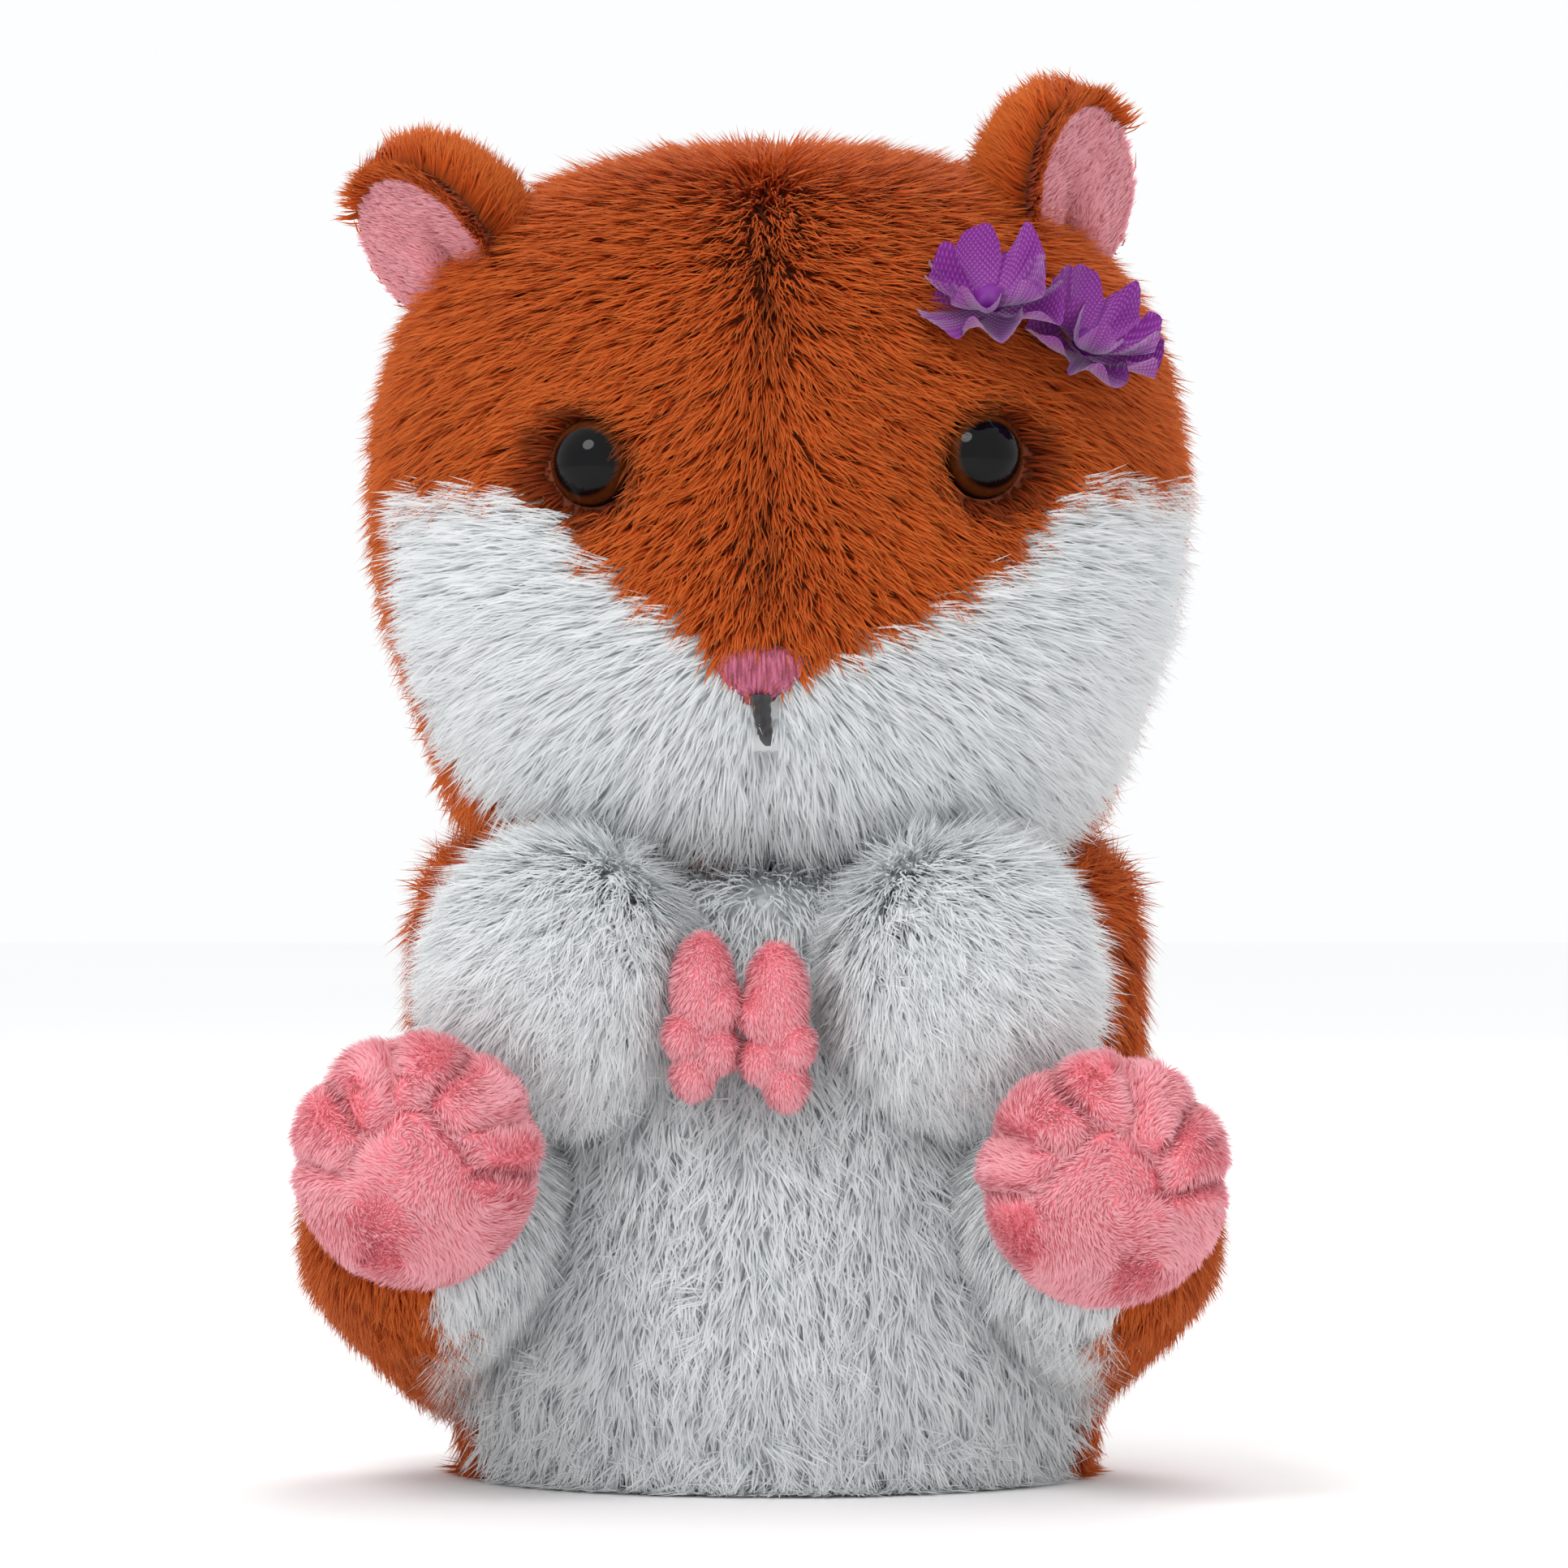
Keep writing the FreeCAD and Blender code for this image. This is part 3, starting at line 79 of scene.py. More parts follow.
# ---- sizes and colours a user would change --------------------------------------------------------
class HamsterPile(bpy.types.PropertyGroup):
    """Lengths and thickness of the pile."""

    orange_length: bpy.props.FloatProperty(
        name="Orange pile", description="Length of the orange pile", default=0.0088, unit="LENGTH")
    white_length: bpy.props.FloatProperty(
        name="White pile", description="Length of the white pile", default=0.0095, unit="LENGTH")
    pink_length: bpy.props.FloatProperty(
        name="Pink pile", description="Length of the short pink pile", default=0.0021, unit="LENGTH")
    fibre_width: bpy.props.FloatProperty(
        name="Fibre width", description="Width of a lock of pile at its root", default=0.00038, unit="LENGTH")
    density: bpy.props.FloatProperty(
        name="Density", description="Share of the full number of fibres", default=1.0, min=0.05, max=1.0)


def colour_setting(name, text, colour):
    """A colour that a user may change."""
    return bpy.props.FloatVectorProperty(
        name=name, description=text, subtype="COLOR", default=linear(*colour))


class HamsterColours(bpy.types.PropertyGroup):
    """Colours of the pile, the cloth and the thread."""

    # The root colours are painted shade deep in the pile: each fibre darkens toward its root.
    orange_root: colour_setting("Orange root", "Dark root of the orange pile", (128, 44, 10))
    orange_middle: colour_setting("Orange middle", "Middle of the orange pile", (220, 90, 28))
    orange_tip: colour_setting("Orange tip", "Light tip of the orange pile", (238, 134, 60))
    white_root: colour_setting("White root", "Shaded root of the white pile", (226, 230, 232))
    white_tip: colour_setting("White tip", "Tip of the white pile", (252, 253, 253))
    pink_root: colour_setting("Pink root", "Root of the pink pile", (248, 170, 181))
    pink_tip: colour_setting("Pink tip", "Tip of the pink pile", (255, 206, 212))
    petal: colour_setting("Petal", "Purple cloth of the flowers", (124, 2, 134))
    nose: colour_setting("Nose", "Thread of the nose", (170, 82, 110))


# ---- numbers ---------------------------------------------------------------------------------------
def unit(v):
    """Rows of v at length one."""
    return v / np.maximum(np.linalg.norm(v, axis=-1, keepdims=True), 1e-9)


def bump(p, centre, reach):
    """A round hill of height one about a centre."""
    return np.exp(-((p - np.array(centre)) ** 2).sum(axis=-1) / (2 * reach ** 2))


def smooth_step(v, low, high):
    """0 under low, 1 above high."""
    t = np.clip((v - low) / (high - low), 0, 1)
    return t * t * (3 - 2 * t)


def smooth_rows(rows, count):
    """A smooth run of rows through the given ones."""
    rows = np.array(rows, float)
    padded = np.vstack([2 * rows[0] - rows[1], rows, 2 * rows[-1] - rows[-2]])
    t = np.linspace(0, len(rows) - 1, count)
    i = np.minimum(t.astype(int), len(rows) - 2)
    f = (t - i)[:, None]
    a, b, c, d = padded[i], padded[i + 1], padded[i + 2], padded[i + 3]
    bend = (2 * a - 5 * b + 4 * c - d) * f ** 2
    return 0.5 * (2 * b + (c - a) * f + bend + (3 * b - a - 3 * c + d) * f ** 3)


def tube_faces(rows, around):
    """Faces of a closed form of rings with a pole at each end."""
    faces = []
    for r in range(rows - 1):
        for i in range(around):
            j = (i + 1) % around
            faces.append((r * around + i, r * around + j, (r + 1) * around + j, (r + 1) * around + i))
    low, high = rows * around, rows * around + 1
    for i in range(around):
        j = (i + 1) % around
        faces.append((low, j, i))
        faces.append((high, (rows - 1) * around + i, (rows - 1) * around + j))
    return faces


def stuffed_form(rings, inset, rows=72, around=110, shift=0.0, foot=0.0):
    """A closed stuffed form of oval rings (height, half width, half depth, centre y), taken in by inset.

    Below the height foot the form is hardly taken in, so it covers the plate that it stands round.
    """
    rings = smooth_rows(rings, rows)
    turn = np.linspace(0, 2 * math.pi, around, endpoint=False)
    low, high = rings[0, 0], rings[-1, 0]
    points = []
    for z, half_x, half_y, centre in rings:
        taken = inset * (0.35 + 0.65 * min(max((z - low) / foot, 0), 1)) if foot else inset
        x = shift + max(half_x - taken, 0.5) * np.cos(turn)
        y = centre + max(half_y - taken, 0.5) * np.sin(turn)
        z = z - (0.0 if foot and z < foot else inset) * (2 * (z - low) / (high - low) - 1)
        points.append(np.column_stack([x, y, np.full(around, z)]))
    points.append([[shift, rings[0, 3], low + (0.0 if foot else inset)]])
    points.append([[shift, rings[-1, 3], high - inset]])
    return np.vstack(points), tube_faces(rows, around)


def triangles(faces):
    """Every face as triangles."""
    out = []
    for f in faces:
        out.append((f[0], f[1], f[2]))
        if len(f) == 4:
            out.append((f[0], f[2], f[3]))
    return np.array(out)


def point_normals(points, tris):
    """Outward directions at the points."""
    flat = np.cross(points[tris[:, 1]] - points[tris[:, 0]], points[tris[:, 2]] - points[tris[:, 0]])
    normals = np.zeros_like(points)
    for k in range(3):
        np.add.at(normals, tris[:, k], flat)
    return unit(normals)


def pushed(form, amount):
    """A form whose points move out by amount(points)."""
    points, faces = form
    normals = point_normals(points, triangles(faces))
    return points + normals * amount(points)[:, None], faces


def scatter(form, count, rng):
    """Evenly spread places on a form, with the outward direction at each."""
    points, faces = form
    tris = triangles(faces)
    normals = point_normals(points, tris)
    a, b, c = (points[tris[:, k]] for k in range(3))
    area = np.linalg.norm(np.cross(b - a, c - a), axis=1)
    total = np.cumsum(area)
    pick = np.searchsorted(total, (np.arange(count) + rng.random(count)) / count * total[-1])
    pick = np.minimum(pick, len(tris) - 1)
    u, v = rng.random(count), rng.random(count)
    over = u + v > 1
    u[over], v[over] = 1 - u[over], 1 - v[over]
    w = 1 - u - v
    shares = (w[:, None], u[:, None], v[:, None])
    place, normal = (sum(q[tris[pick, k]] * shares[k] for k in range(3)) for q in (points, normals))
    return place, unit(normal)


# ---- objects -----------------------------------------------------------------------------------------
def sizes():
    """The pile's settings."""
    return bpy.context.scene.hamster_pile


def pile_length(colour):
    """The length of one colour of pile, in millimetres."""
    return getattr(sizes(), f"{colour}_length") / MM


def colours():
    """The colour settings."""
    return bpy.context.scene.hamster_colours


def new_object(name, points, faces, materials):
    """A mesh object from points in millimetres."""
    mesh = bpy.data.meshes.new(name)
    mesh.from_pydata((np.asarray(points) * MM).tolist(), [], [tuple(int(i) for i in f) for f in faces])
    for m in materials:
        mesh.materials.append(m)
    mesh.polygons.foreach_set("use_smooth", [True] * len(mesh.polygons))
    mesh.update()
    made = bpy.data.objects.new(name, mesh)
    bpy.context.scene.collection.objects.link(made)
    return made


def finish_piece(piece, body, nodes=()):
    """Joins a piece to its body and hides the solids it stands for."""
    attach(piece, body)
    if nodes:
        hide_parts(*nodes)
    return piece


def stuffed(name, form, body, material, nodes):
    """The backing cloth of a stuffed part, under its pile."""
    piece = new_object(name, *form, [material])
    finish_piece(piece, body, nodes)
    return piece


def grow_pile(name, places, outward, comb, length, body, slot, rng,
              lean=(0.35, 0.8), tint=0.5, width=None, lock=7, pull=0.13, stray=0.17):
    """Pile on the places: tapered tufts that leave the cloth outward and bend over along comb.

    Tufts gather in locks. Each tuft's map holds its tint and its width across and its height along,
    so the material can paint shade on it from root to tip and split it into fine fibres.
    """
    count = len(places)
    width = (sizes().fibre_width / MM) if width is None else width
    length = np.broadcast_to(length, count)
    tint = np.broadcast_to(tint, count)
    guides = rng.choice(count, max(count // lock, 2), replace=False)
    tree = KDTree(len(guides))
    for i, g in enumerate(guides):
        tree.insert(places[g], i)
    tree.balance()
    owner = np.array([tree.find(p)[1] for p in places])
    swerve = rng.normal(0, stray, (len(guides), 3))[owner]
    grown = rng.uniform(0.82, 1.12, len(guides))[owner]
    shade = rng.normal(0, 0.07, len(guides))[owner]
    along = unit(comb) + swerve + rng.normal(0, stray * 0.5, (count, 3))
    along -= outward * (along * outward).sum(axis=1, keepdims=True)
    along = unit(along)
    start = unit(outward * (1 - lean[0]) + along * lean[0] + rng.normal(0, 0.08, (count, 3)))
    end = unit(outward * (1 - lean[1]) + along * lean[1] + rng.normal(0, 0.12, (count, 3)))
    reach = (length * grown * rng.uniform(0.72, 1.1, count))[:, None]
    tips = places + reach * (start + end) / 2
    gather = tips[guides][owner] - tips
    gather *= np.minimum(1, reach * 0.5 / np.maximum(np.linalg.norm(gather, axis=1, keepdims=True), 1e-6))
    tangent = unit(start + end)
    side = np.cross(tangent, outward)
    weak = np.linalg.norm(side, axis=1) < 0.1
    side[weak] = np.cross(tangent[weak], rng.normal(0, 1, (weak.sum(), 3)))
    side = unit(side)
    roll = rng.uniform(-0.6, 0.6, count)[:, None]
    side = side * np.cos(roll) + np.cross(tangent, side) * np.sin(roll)
    facing = unit(np.cross(side, tangent))
    lit = unit(outward * 0.6 + facing * 0.4 + rng.normal(0, 0.1, (count, 3)))
    steps, taper = (0.0, 0.55), (1.0, 0.8)
    rows, heights = [], []
    for t, w in zip(steps, taper):
        middle = places - outward * 0.3 + reach * (start * t + (end - start) * t * t / 2)
        middle = middle + gather * pull * t * t
        rows += [middle - side * width * w / 2, middle + side * width * w / 2]
        heights += [t, t]
    rows.append(places + reach * (start + end) / 2 + gather * pull)
    heights.append(1.0)
    per = len(rows)
    points = np.stack(rows, axis=1).reshape(-1, 3)
    points[:, 2] = np.maximum(points[:, 2], FLOOR_GAP + 0.4 * rng.random(len(points)))
    corners, starts = [0, 1, 3, 2, 2, 3, 4], [0, 4]
    first = (np.arange(count) * per)[:, None]
    loops = (first + np.array(corners)).ravel()
    loop_starts = ((np.arange(count) * len(corners))[:, None] + np.array(starts)).ravel()
    mesh = bpy.data.meshes.new(name)
    mesh.vertices.add(len(points))
    mesh.vertices.foreach_set("co", (points * MM).ravel())
    mesh.loops.add(len(loops))
    mesh.loops.foreach_set("vertex_index", loops.astype(np.int32))
    mesh.polygons.add(len(loop_starts))
    mesh.polygons.foreach_set("loop_start", loop_starts.astype(np.int32))
    mesh.update(calc_edges=True)
    mesh.polygons.foreach_set("use_smooth", np.ones(len(loop_starts), bool))
    column = np.floor(np.clip(tint + shade + rng.normal(0, 0.07, count), 0.0, 0.999) * TINTS)
    place = np.empty((count, per, 2))
    place[:, :, 0] = (column[:, None] + np.array([0.06, 0.94, 0.06, 0.94, 0.5])) / TINTS
    place[:, :, 1] = 0.03 + 0.94 * np.array(heights)
    uv = mesh.uv_layers.new(name=BAKE_MAP)
    uv.data.foreach_set("uv", place.reshape(-1, 2)[loops].ravel())
    mesh.normals_split_custom_set_from_vertices(np.repeat(lit, per, axis=0).tolist())
    mesh.materials.append(PILES[slot]())
    piece = bpy.data.objects.new(name, mesh)
    bpy.context.scene.collection.objects.link(piece)
    return finish_piece(piece, body)


def many(count):
    return int(count * sizes().density * (1.0))


# ---- shader groups and materials -----------------------------------------------------------------------
def node_group(name, inputs, outputs):
    """An empty shader group with named sockets."""
    group = bpy.data.node_groups.new(name, "ShaderNodeTree")
    for label, kind, default in inputs:
        socket = group.interface.new_socket(label, in_out="INPUT", socket_type=kind)
        if default is not None:
            socket.default_value = default
    for label, kind in outputs:
        group.interface.new_socket(label, in_out="OUTPUT", socket_type=kind)
    return group, group.nodes.new("NodeGroupInput"), group.nodes.new("NodeGroupOutput")


def mix_colour(tree, factor, low, high):
    """A colour mix between two sockets or colours."""
    node = tree.nodes.new("ShaderNodeMix")
    node.data_type = "RGBA"
    for value, socket in ((factor, node.inputs[0]), (low, node.inputs[6]), (high, node.inputs[7])):
        if isinstance(value, bpy.types.NodeSocket):
            tree.links.new(value, socket)
        else:
            socket.default_value = (*value, 1.0) if isinstance(value, tuple) and len(value) == 3 else value
    return node.outputs[2]


def remap(tree, value, low, high, to_low=0.0, to_high=1.0):
    """A value carried from one range to another, held at the ends."""
    node = tree.nodes.new("ShaderNodeMapRange")
    node.interpolation_type = "SMOOTHSTEP"
    tree.links.new(value, node.inputs[0])
    for i, v in enumerate((low, high, to_low, to_high), 1):
        node.inputs[i].default_value = v
    return node.outputs[0]


def math_node(tree, operation, first, second=0.0, third=0.0):
    """A sum of sockets or numbers."""
    node = tree.nodes.new("ShaderNodeMath")
    node.operation = operation
    for value, socket in zip((first, second, third), node.inputs):
        if isinstance(value, bpy.types.NodeSocket):
            tree.links.new(value, socket)
        else:
            socket.default_value = value
    return node.outputs[0]


def noise(tree, vector, scale, detail=3.0):
    """A noise value."""
    node = tree.nodes.new("ShaderNodeTexNoise")
    node.inputs["Scale"].default_value = scale
    node.inputs["Detail"].default_value = detail
    tree.links.new(vector, node.inputs["Vector"])
    return node.outputs[0]


def pile_shade_group():
    """Colours a fibre from root to tip, and darker or lighter by its tint. The darker root is painted shade
    deep in the pile, the dark lines between its fine fibres are painted shade, and the lowest tints take the
    painted shade colour round the eyes.
    """
    if "Pile shade" in bpy.data.node_groups:
        return bpy.data.node_groups["Pile shade"]
    group, inside, outside = node_group(
        "Pile shade",
        [("Fibre", "NodeSocketVector", None), ("Root", "NodeSocketColor", None),
         ("Middle", "NodeSocketColor", None), ("Tip", "NodeSocketColor", None),
         ("Depth", "NodeSocketFloat", 0.45)],
        [("Colour", "NodeSocketColor"), ("Roughness", "NodeSocketFloat")])
    split = group.nodes.new("ShaderNodeSeparateXYZ")
    group.links.new(inside.outputs["Fibre"], split.inputs[0])
    columns = math_node(group, "MULTIPLY", split.outputs[0], TINTS)
    tint = math_node(group, "DIVIDE", math_node(group, "FLOOR", columns), TINTS - 1)
    turns = math_node(group, "MULTIPLY", math_node(group, "FRACT", columns), 6 * math.pi)
    ripple = math_node(group, "SINE", turns)
    low = remap(group, split.outputs[1], 0.0, 0.5)
    high = remap(group, split.outputs[1], 0.45, 1.0)
    # painted shade: the fibre darkens toward its root
    lower = mix_colour(group, low, inside.outputs["Root"], inside.outputs["Middle"])
    whole = mix_colour(group, high, lower, inside.outputs["Tip"])
    dark = mix_colour(group, inside.outputs["Depth"], whole, inside.outputs["Root"])
    light = mix_colour(group, 0.35, whole, inside.outputs["Tip"])
    # painted shade: the lowest tints turn to the deep shade colour used round the eyes
    shaded = mix_colour(group, remap(group, tint, 0.0, 0.15, 0.85, 0.0), dark, PAINTED_DEEP_SHADE)
    tinted = mix_colour(group, tint, shaded, light)
    hair = mix_colour(group, remap(group, ripple, -1.0, 1.0, 0.0, 0.45), tinted, whole)
    # painted shade: dark lines between the fine fibres of a tuft
    painted_gap_shade = mix_colour(group, remap(group, ripple, -1.0, 0.2, 0.32, 0.0), hair, inside.outputs["Root"])
    group.links.new(painted_gap_shade, outside.inputs["Colour"])
    group.links.new(remap(group, split.outputs[1], 0.0, 1.0, 0.9, 0.62), outside.inputs["Roughness"])
    return group


def moulded_group():
    """Fine moulded texture: a little colour change, roughness and height."""
    if "Moulded surface" in bpy.data.node_groups:
        return bpy.data.node_groups["Moulded surface"]
    group, inside, outside = node_group(
        "Moulded surface",
        [("Place", "NodeSocketVector", None), ("Base", "NodeSocketColor", None),
         ("Worn", "NodeSocketColor", None), ("Low roughness", "NodeSocketFloat", 0.4),
         ("High roughness", "NodeSocketFloat", 0.6)],
        [("Colour", "NodeSocketColor"), ("Roughness", "NodeSocketFloat"), ("Height", "NodeSocketFloat")])
    broad = noise(group, inside.outputs["Place"], 60.0)
    fine = noise(group, inside.outputs["Place"], 1800.0, 2.0)
    colour = mix_colour(group, remap(group, broad, 0.35, 0.75, 0.0, 0.6), inside.outputs["Base"],
                        inside.outputs["Worn"])
    blend = group.nodes.new("ShaderNodeMix")
    group.links.new(broad, blend.inputs[0])
    group.links.new(inside.outputs["Low roughness"], blend.inputs[2])
    group.links.new(inside.outputs["High roughness"], blend.inputs[3])
    group.links.new(colour, outside.inputs["Colour"])
    group.links.new(blend.outputs[0], outside.inputs["Roughness"])
    group.links.new(fine, outside.inputs["Height"])
    return group


def weave_group():
    """Plain weave: threads over and under in two directions on the cloth's own map, with a painted highlight
    on the raised threads.
    """
    if "Plain weave" in bpy.data.node_groups:
        return bpy.data.node_groups["Plain weave"]
    group, inside, outside = node_group(
        "Plain weave",
        [("Place", "NodeSocketVector", None), ("Threads", "NodeSocketFloat", 60.0),
         ("Cloth", "NodeSocketColor", None), ("Painted highlight thread", "NodeSocketColor", None)],
        [("Colour", "NodeSocketColor"), ("Height", "NodeSocketFloat")])
    scaled = group.nodes.new("ShaderNodeVectorMath")
    scaled.operation = "SCALE"
    group.links.new(inside.outputs["Place"], scaled.inputs[0])
    group.links.new(inside.outputs["Threads"], scaled.inputs["Scale"])
    split = group.nodes.new("ShaderNodeSeparateXYZ")
    group.links.new(scaled.outputs[0], split.inputs[0])
    warp, weft = (math_node(group, "SINE", math_node(group, "MULTIPLY", split.outputs[k], math.pi))
                  for k in (0, 1))
    height = math_node(group, "MULTIPLY_ADD", math_node(group, "MULTIPLY", warp, weft), 0.5, 0.5)
    # painted highlight: the highest threads turn to the light colour
    colour = mix_colour(group, remap(group, height, 0.55, 1.0), inside.outputs["Cloth"],
                        inside.outputs["Painted highlight thread"])
    group.links.new(colour, outside.inputs["Colour"])
    group.links.new(height, outside.inputs["Height"])
    return group


def new_material(name):
    """A material with its shader, and the tree to build on."""
    material = bpy.data.materials.new(name)
    material.use_nodes = True
    return material, material.node_tree, material.node_tree.nodes["Principled BSDF"]


def placed(tree, group, values):
    """A group in a material, with its own values."""
    node = tree.nodes.new("ShaderNodeGroup")
    node.node_tree = group
    for label, value in values.items():
        if isinstance(value, bpy.types.NodeSocket):
            tree.links.new(value, node.inputs[label])
        elif hasattr(value, "__len__"):
            node.inputs[label].default_value = (*tuple(value)[:3], 1.0)
        else:
            node.inputs[label].default_value = value
    return node


def pile_material(name, root, middle, tip, depth, sheen, through):
    """Pile with painted shade along each fibre, darker toward the root, which lets some light through."""
    if name in bpy.data.materials:
        return bpy.data.materials[name]
    material, tree, shader = new_material(name)
    map_node = tree.nodes.new("ShaderNodeUVMap")
    map_node.uv_map = BAKE_MAP
    shade = placed(tree, pile_shade_group(), {"Fibre": map_node.outputs[0], "Root": root, "Middle": middle,
                                              "Tip": tip, "Depth": depth})
    tree.links.new(shade.outputs["Colour"], shader.inputs["Base Color"])
    tree.links.new(shade.outputs["Roughness"], shader.inputs["Roughness"])
    shader.inputs["Specular IOR Level"].default_value = 0.12
    shader.inputs["Sheen Weight"].default_value = sheen
    shader.inputs["Sheen Roughness"].default_value = 0.5
    thin = tree.nodes.new("ShaderNodeBsdfTranslucent")
    tree.links.new(shade.outputs["Colour"], thin.inputs["Color"])
    both = tree.nodes.new("ShaderNodeMixShader")
    both.inputs[0].default_value = through
    tree.links.new(shader.outputs[0], both.inputs[1])
    tree.links.new(thin.outputs[0], both.inputs[2])
    tree.links.new(both.outputs[0], tree.nodes["Material Output"].inputs["Surface"])
    return material


def orange_pile():
    """Rust orange pile."""
    c = colours()
    return pile_material("Orange pile", c.orange_root, c.orange_middle, c.orange_tip, 0.5, 0.04, 0.35)


def pale_pile(name, root, tip, depth, through):
    """Pile whose middle lies between its root and its tip."""
    middle = [0.5 * a + 0.5 * b for a, b in zip(root, tip)]
    return pile_material(name, root, middle, tip, depth, 0.1, through)


def white_pile():
    """White pile, which lets more light through."""
    return pale_pile("White pile", colours().white_root, colours().white_tip, 0.15, 0.48)


def pink_pile():
    """Short pink pile."""
    return pale_pile("Pink pile", colours().pink_root, colours().pink_tip, 0.5, 0.35)


PILES = {"orange_pile": orange_pile, "white_pile": white_pile, "pink_pile": pink_pile}


def raised(tree, shader, height, strength, distance):
    """Fine relief on a shader, with its depth in metres."""
    relief = tree.nodes.new("ShaderNodeBump")
    relief.inputs["Strength"].default_value = strength
    relief.inputs["Distance"].default_value = distance
    tree.links.new(height, relief.inputs["Height"])
    tree.links.new(relief.outputs[0], shader.inputs["Normal"])


def surface_material(name, base, worn, low, high, strength, distance):
    """A material from the moulded surface, and its shader."""
    material, tree, shader = new_material(name)
    place = tree.nodes.new("ShaderNodeTexCoord").outputs["Object"]
    group = placed(tree, moulded_group(), {"Place": place, "Base": base, "Worn": worn,
                                           "Low roughness": low, "High roughness": high})
    tree.links.new(group.outputs["Colour"], shader.inputs["Base Color"])
    tree.links.new(group.outputs["Roughness"], shader.inputs["Roughness"])
    raised(tree, shader, group.outputs["Height"], strength, distance)
    return material, shader


def backing_cloth(name):
    """The knitted backing that shows between fibres. The orange and pink backings are darker than their pile
    as painted shade deep in the pile.
    """
    if name in bpy.data.materials:
        return bpy.data.materials[name]
    colour = BACKINGS[name]
    darker = tuple(v * 0.6 for v in colour)
    material, shader = surface_material(name, colour, darker, 0.85, 0.95, 0.4, 0.0003)
    shader.inputs["Sheen Weight"].default_value = 0.2
    return material


def moulded_material(name, base, worn, low, high, metallic=0.0, relief_strength=0.15, coat=0.0):
    """Hard parts: plastic, metal or board, from the same moulded surface with its own values."""
    if name in bpy.data.materials:
        return bpy.data.materials[name]
    material, shader = surface_material(name, base, worn, low, high, relief_strength, 0.00008)
    shader.inputs["Metallic"].default_value = metallic
    shader.inputs["Coat Weight"].default_value = coat
    return material


def petal_material():
    """Woven petals with a painted highlight on the raised threads."""
    if "Purple woven cloth" in bpy.data.materials:
        return bpy.data.materials["Purple woven cloth"]
    material, tree, shader = new_material("Purple woven cloth")
    map_node = tree.nodes.new("ShaderNodeUVMap")
    map_node.uv_map = BAKE_MAP
    cloth = tuple(colours().petal)
    # painted highlight colour of the raised threads
    light = tuple(min(1.0, v * 1.7 + 0.06) for v in cloth)
    weave = placed(tree, weave_group(), {"Place": map_node.outputs[0], "Threads": 64.0, "Cloth": cloth,
                                         "Painted highlight thread": light})
    tree.links.new(weave.outputs["Colour"], shader.inputs["Base Color"])
    raised(tree, shader, weave.outputs["Height"], 0.5, 0.0002)
    shader.inputs["Roughness"].default_value = 0.5
    shader.inputs["Sheen Weight"].default_value = 0.5
    return material


def thread_material(name, colour):
    """Embroidery thread with a soft gloss."""
    material, tree, shader = new_material(name)
    place = tree.nodes.new("ShaderNodeTexCoord").outputs["Object"]
    stretched = tree.nodes.new("ShaderNodeMapping")
    stretched.inputs["Scale"].default_value = (3.0, 1.0, 0.3)
    tree.links.new(place, stretched.inputs[0])
    fine = noise(tree, stretched.outputs[0], 900.0)
    darker = tuple(v * f for v, f in zip(colour, (0.6, 0.28, 0.4)))
    lighter = tuple(min(1.0, v * 1.3 + 0.02) for v in colour)
    mixed = mix_colour(tree, remap(tree, fine, 0.35, 0.65), darker, lighter)
    tree.links.new(mixed, shader.inputs["Base Color"])
    tree.links.new(remap(tree, fine, 0.3, 0.7, 0.45, 0.7), shader.inputs["Roughness"])
    shader.inputs["Sheen Weight"].default_value = 0.3
    return material


def eye_material(name, apex, axis):
    """A black dome with a brown ring near its rim, round an axis through the apex."""
    material, tree, shader = new_material(name)
    place = tree.nodes.new("ShaderNodeTexCoord").outputs["Object"]

    def vector_node(operation, first, second):
        node = tree.nodes.new("ShaderNodeVectorMath")
        node.operation = operation
        for value, socket in ((first, node.inputs[0]), (second, node.inputs[1])):
            if isinstance(value, bpy.types.NodeSocket):
                tree.links.new(value, socket)
            elif value is not None:
                socket.default_value = value
        return node

    arm = vector_node("SUBTRACT", place, tuple(apex)).outputs[0]
    away = vector_node("CROSS_PRODUCT", arm, tuple(axis)).outputs[0]
    radius = vector_node("LENGTH", away, None).outputs["Value"]
    iris = remap(tree, radius, 0.0046, 0.0054)
    rim = remap(tree, radius, 0.0058, 0.0064)
    fleck = noise(tree, place, 900.0)
    brown = mix_colour(tree, fleck, linear(52, 22, 8), linear(96, 46, 16))
    ringed = mix_colour(tree, iris, linear(5, 5, 7), brown)
    tree.links.new(mix_colour(tree, rim, ringed, linear(6, 5, 5)), shader.inputs["Base Color"])
    tree.links.new(remap(tree, noise(tree, place, 120.0), 0.3, 0.8, 0.04, 0.1), shader.inputs["Roughness"])
    shader.inputs["Specular IOR Level"].default_value = 0.10
    shader.inputs["Coat Weight"].default_value = 0.14
    shader.inputs["Coat Roughness"].default_value = 0.03
    return material


# ---- forms of the stuffed parts, in millimetres ---------------------------------------------------------
PLUSH_SHIFT = 2.5         # the stuffed head and body sit a little to one side of the frame
HEAD_RINGS = [
    (95.4, 6.0, 6.0, -2.0), (95.6, 34.0, 30.0, -2.5), (97.2, 42.0, 36.5, -4.0), (102.0, 47.3, 40.8, -6.0),
    (110.0, 50.2, 43.5, -6.5), (120.0, 53.5, 45.5, -6.5), (132.0, 57.5, 46.8, -6.0),
    (147.0, 59.8, 47.2, -4.0), (162.0, 59.0, 46.3, -2.0), (175.0, 54.8, 43.8, -1.0),
    (186.0, 46.5, 38.2, 0.0), (194.5, 34.0, 30.0, 0.0), (199.0, 17.0, 16.0, 0.0), (199.6, 3.0, 3.0, 0.0),
]
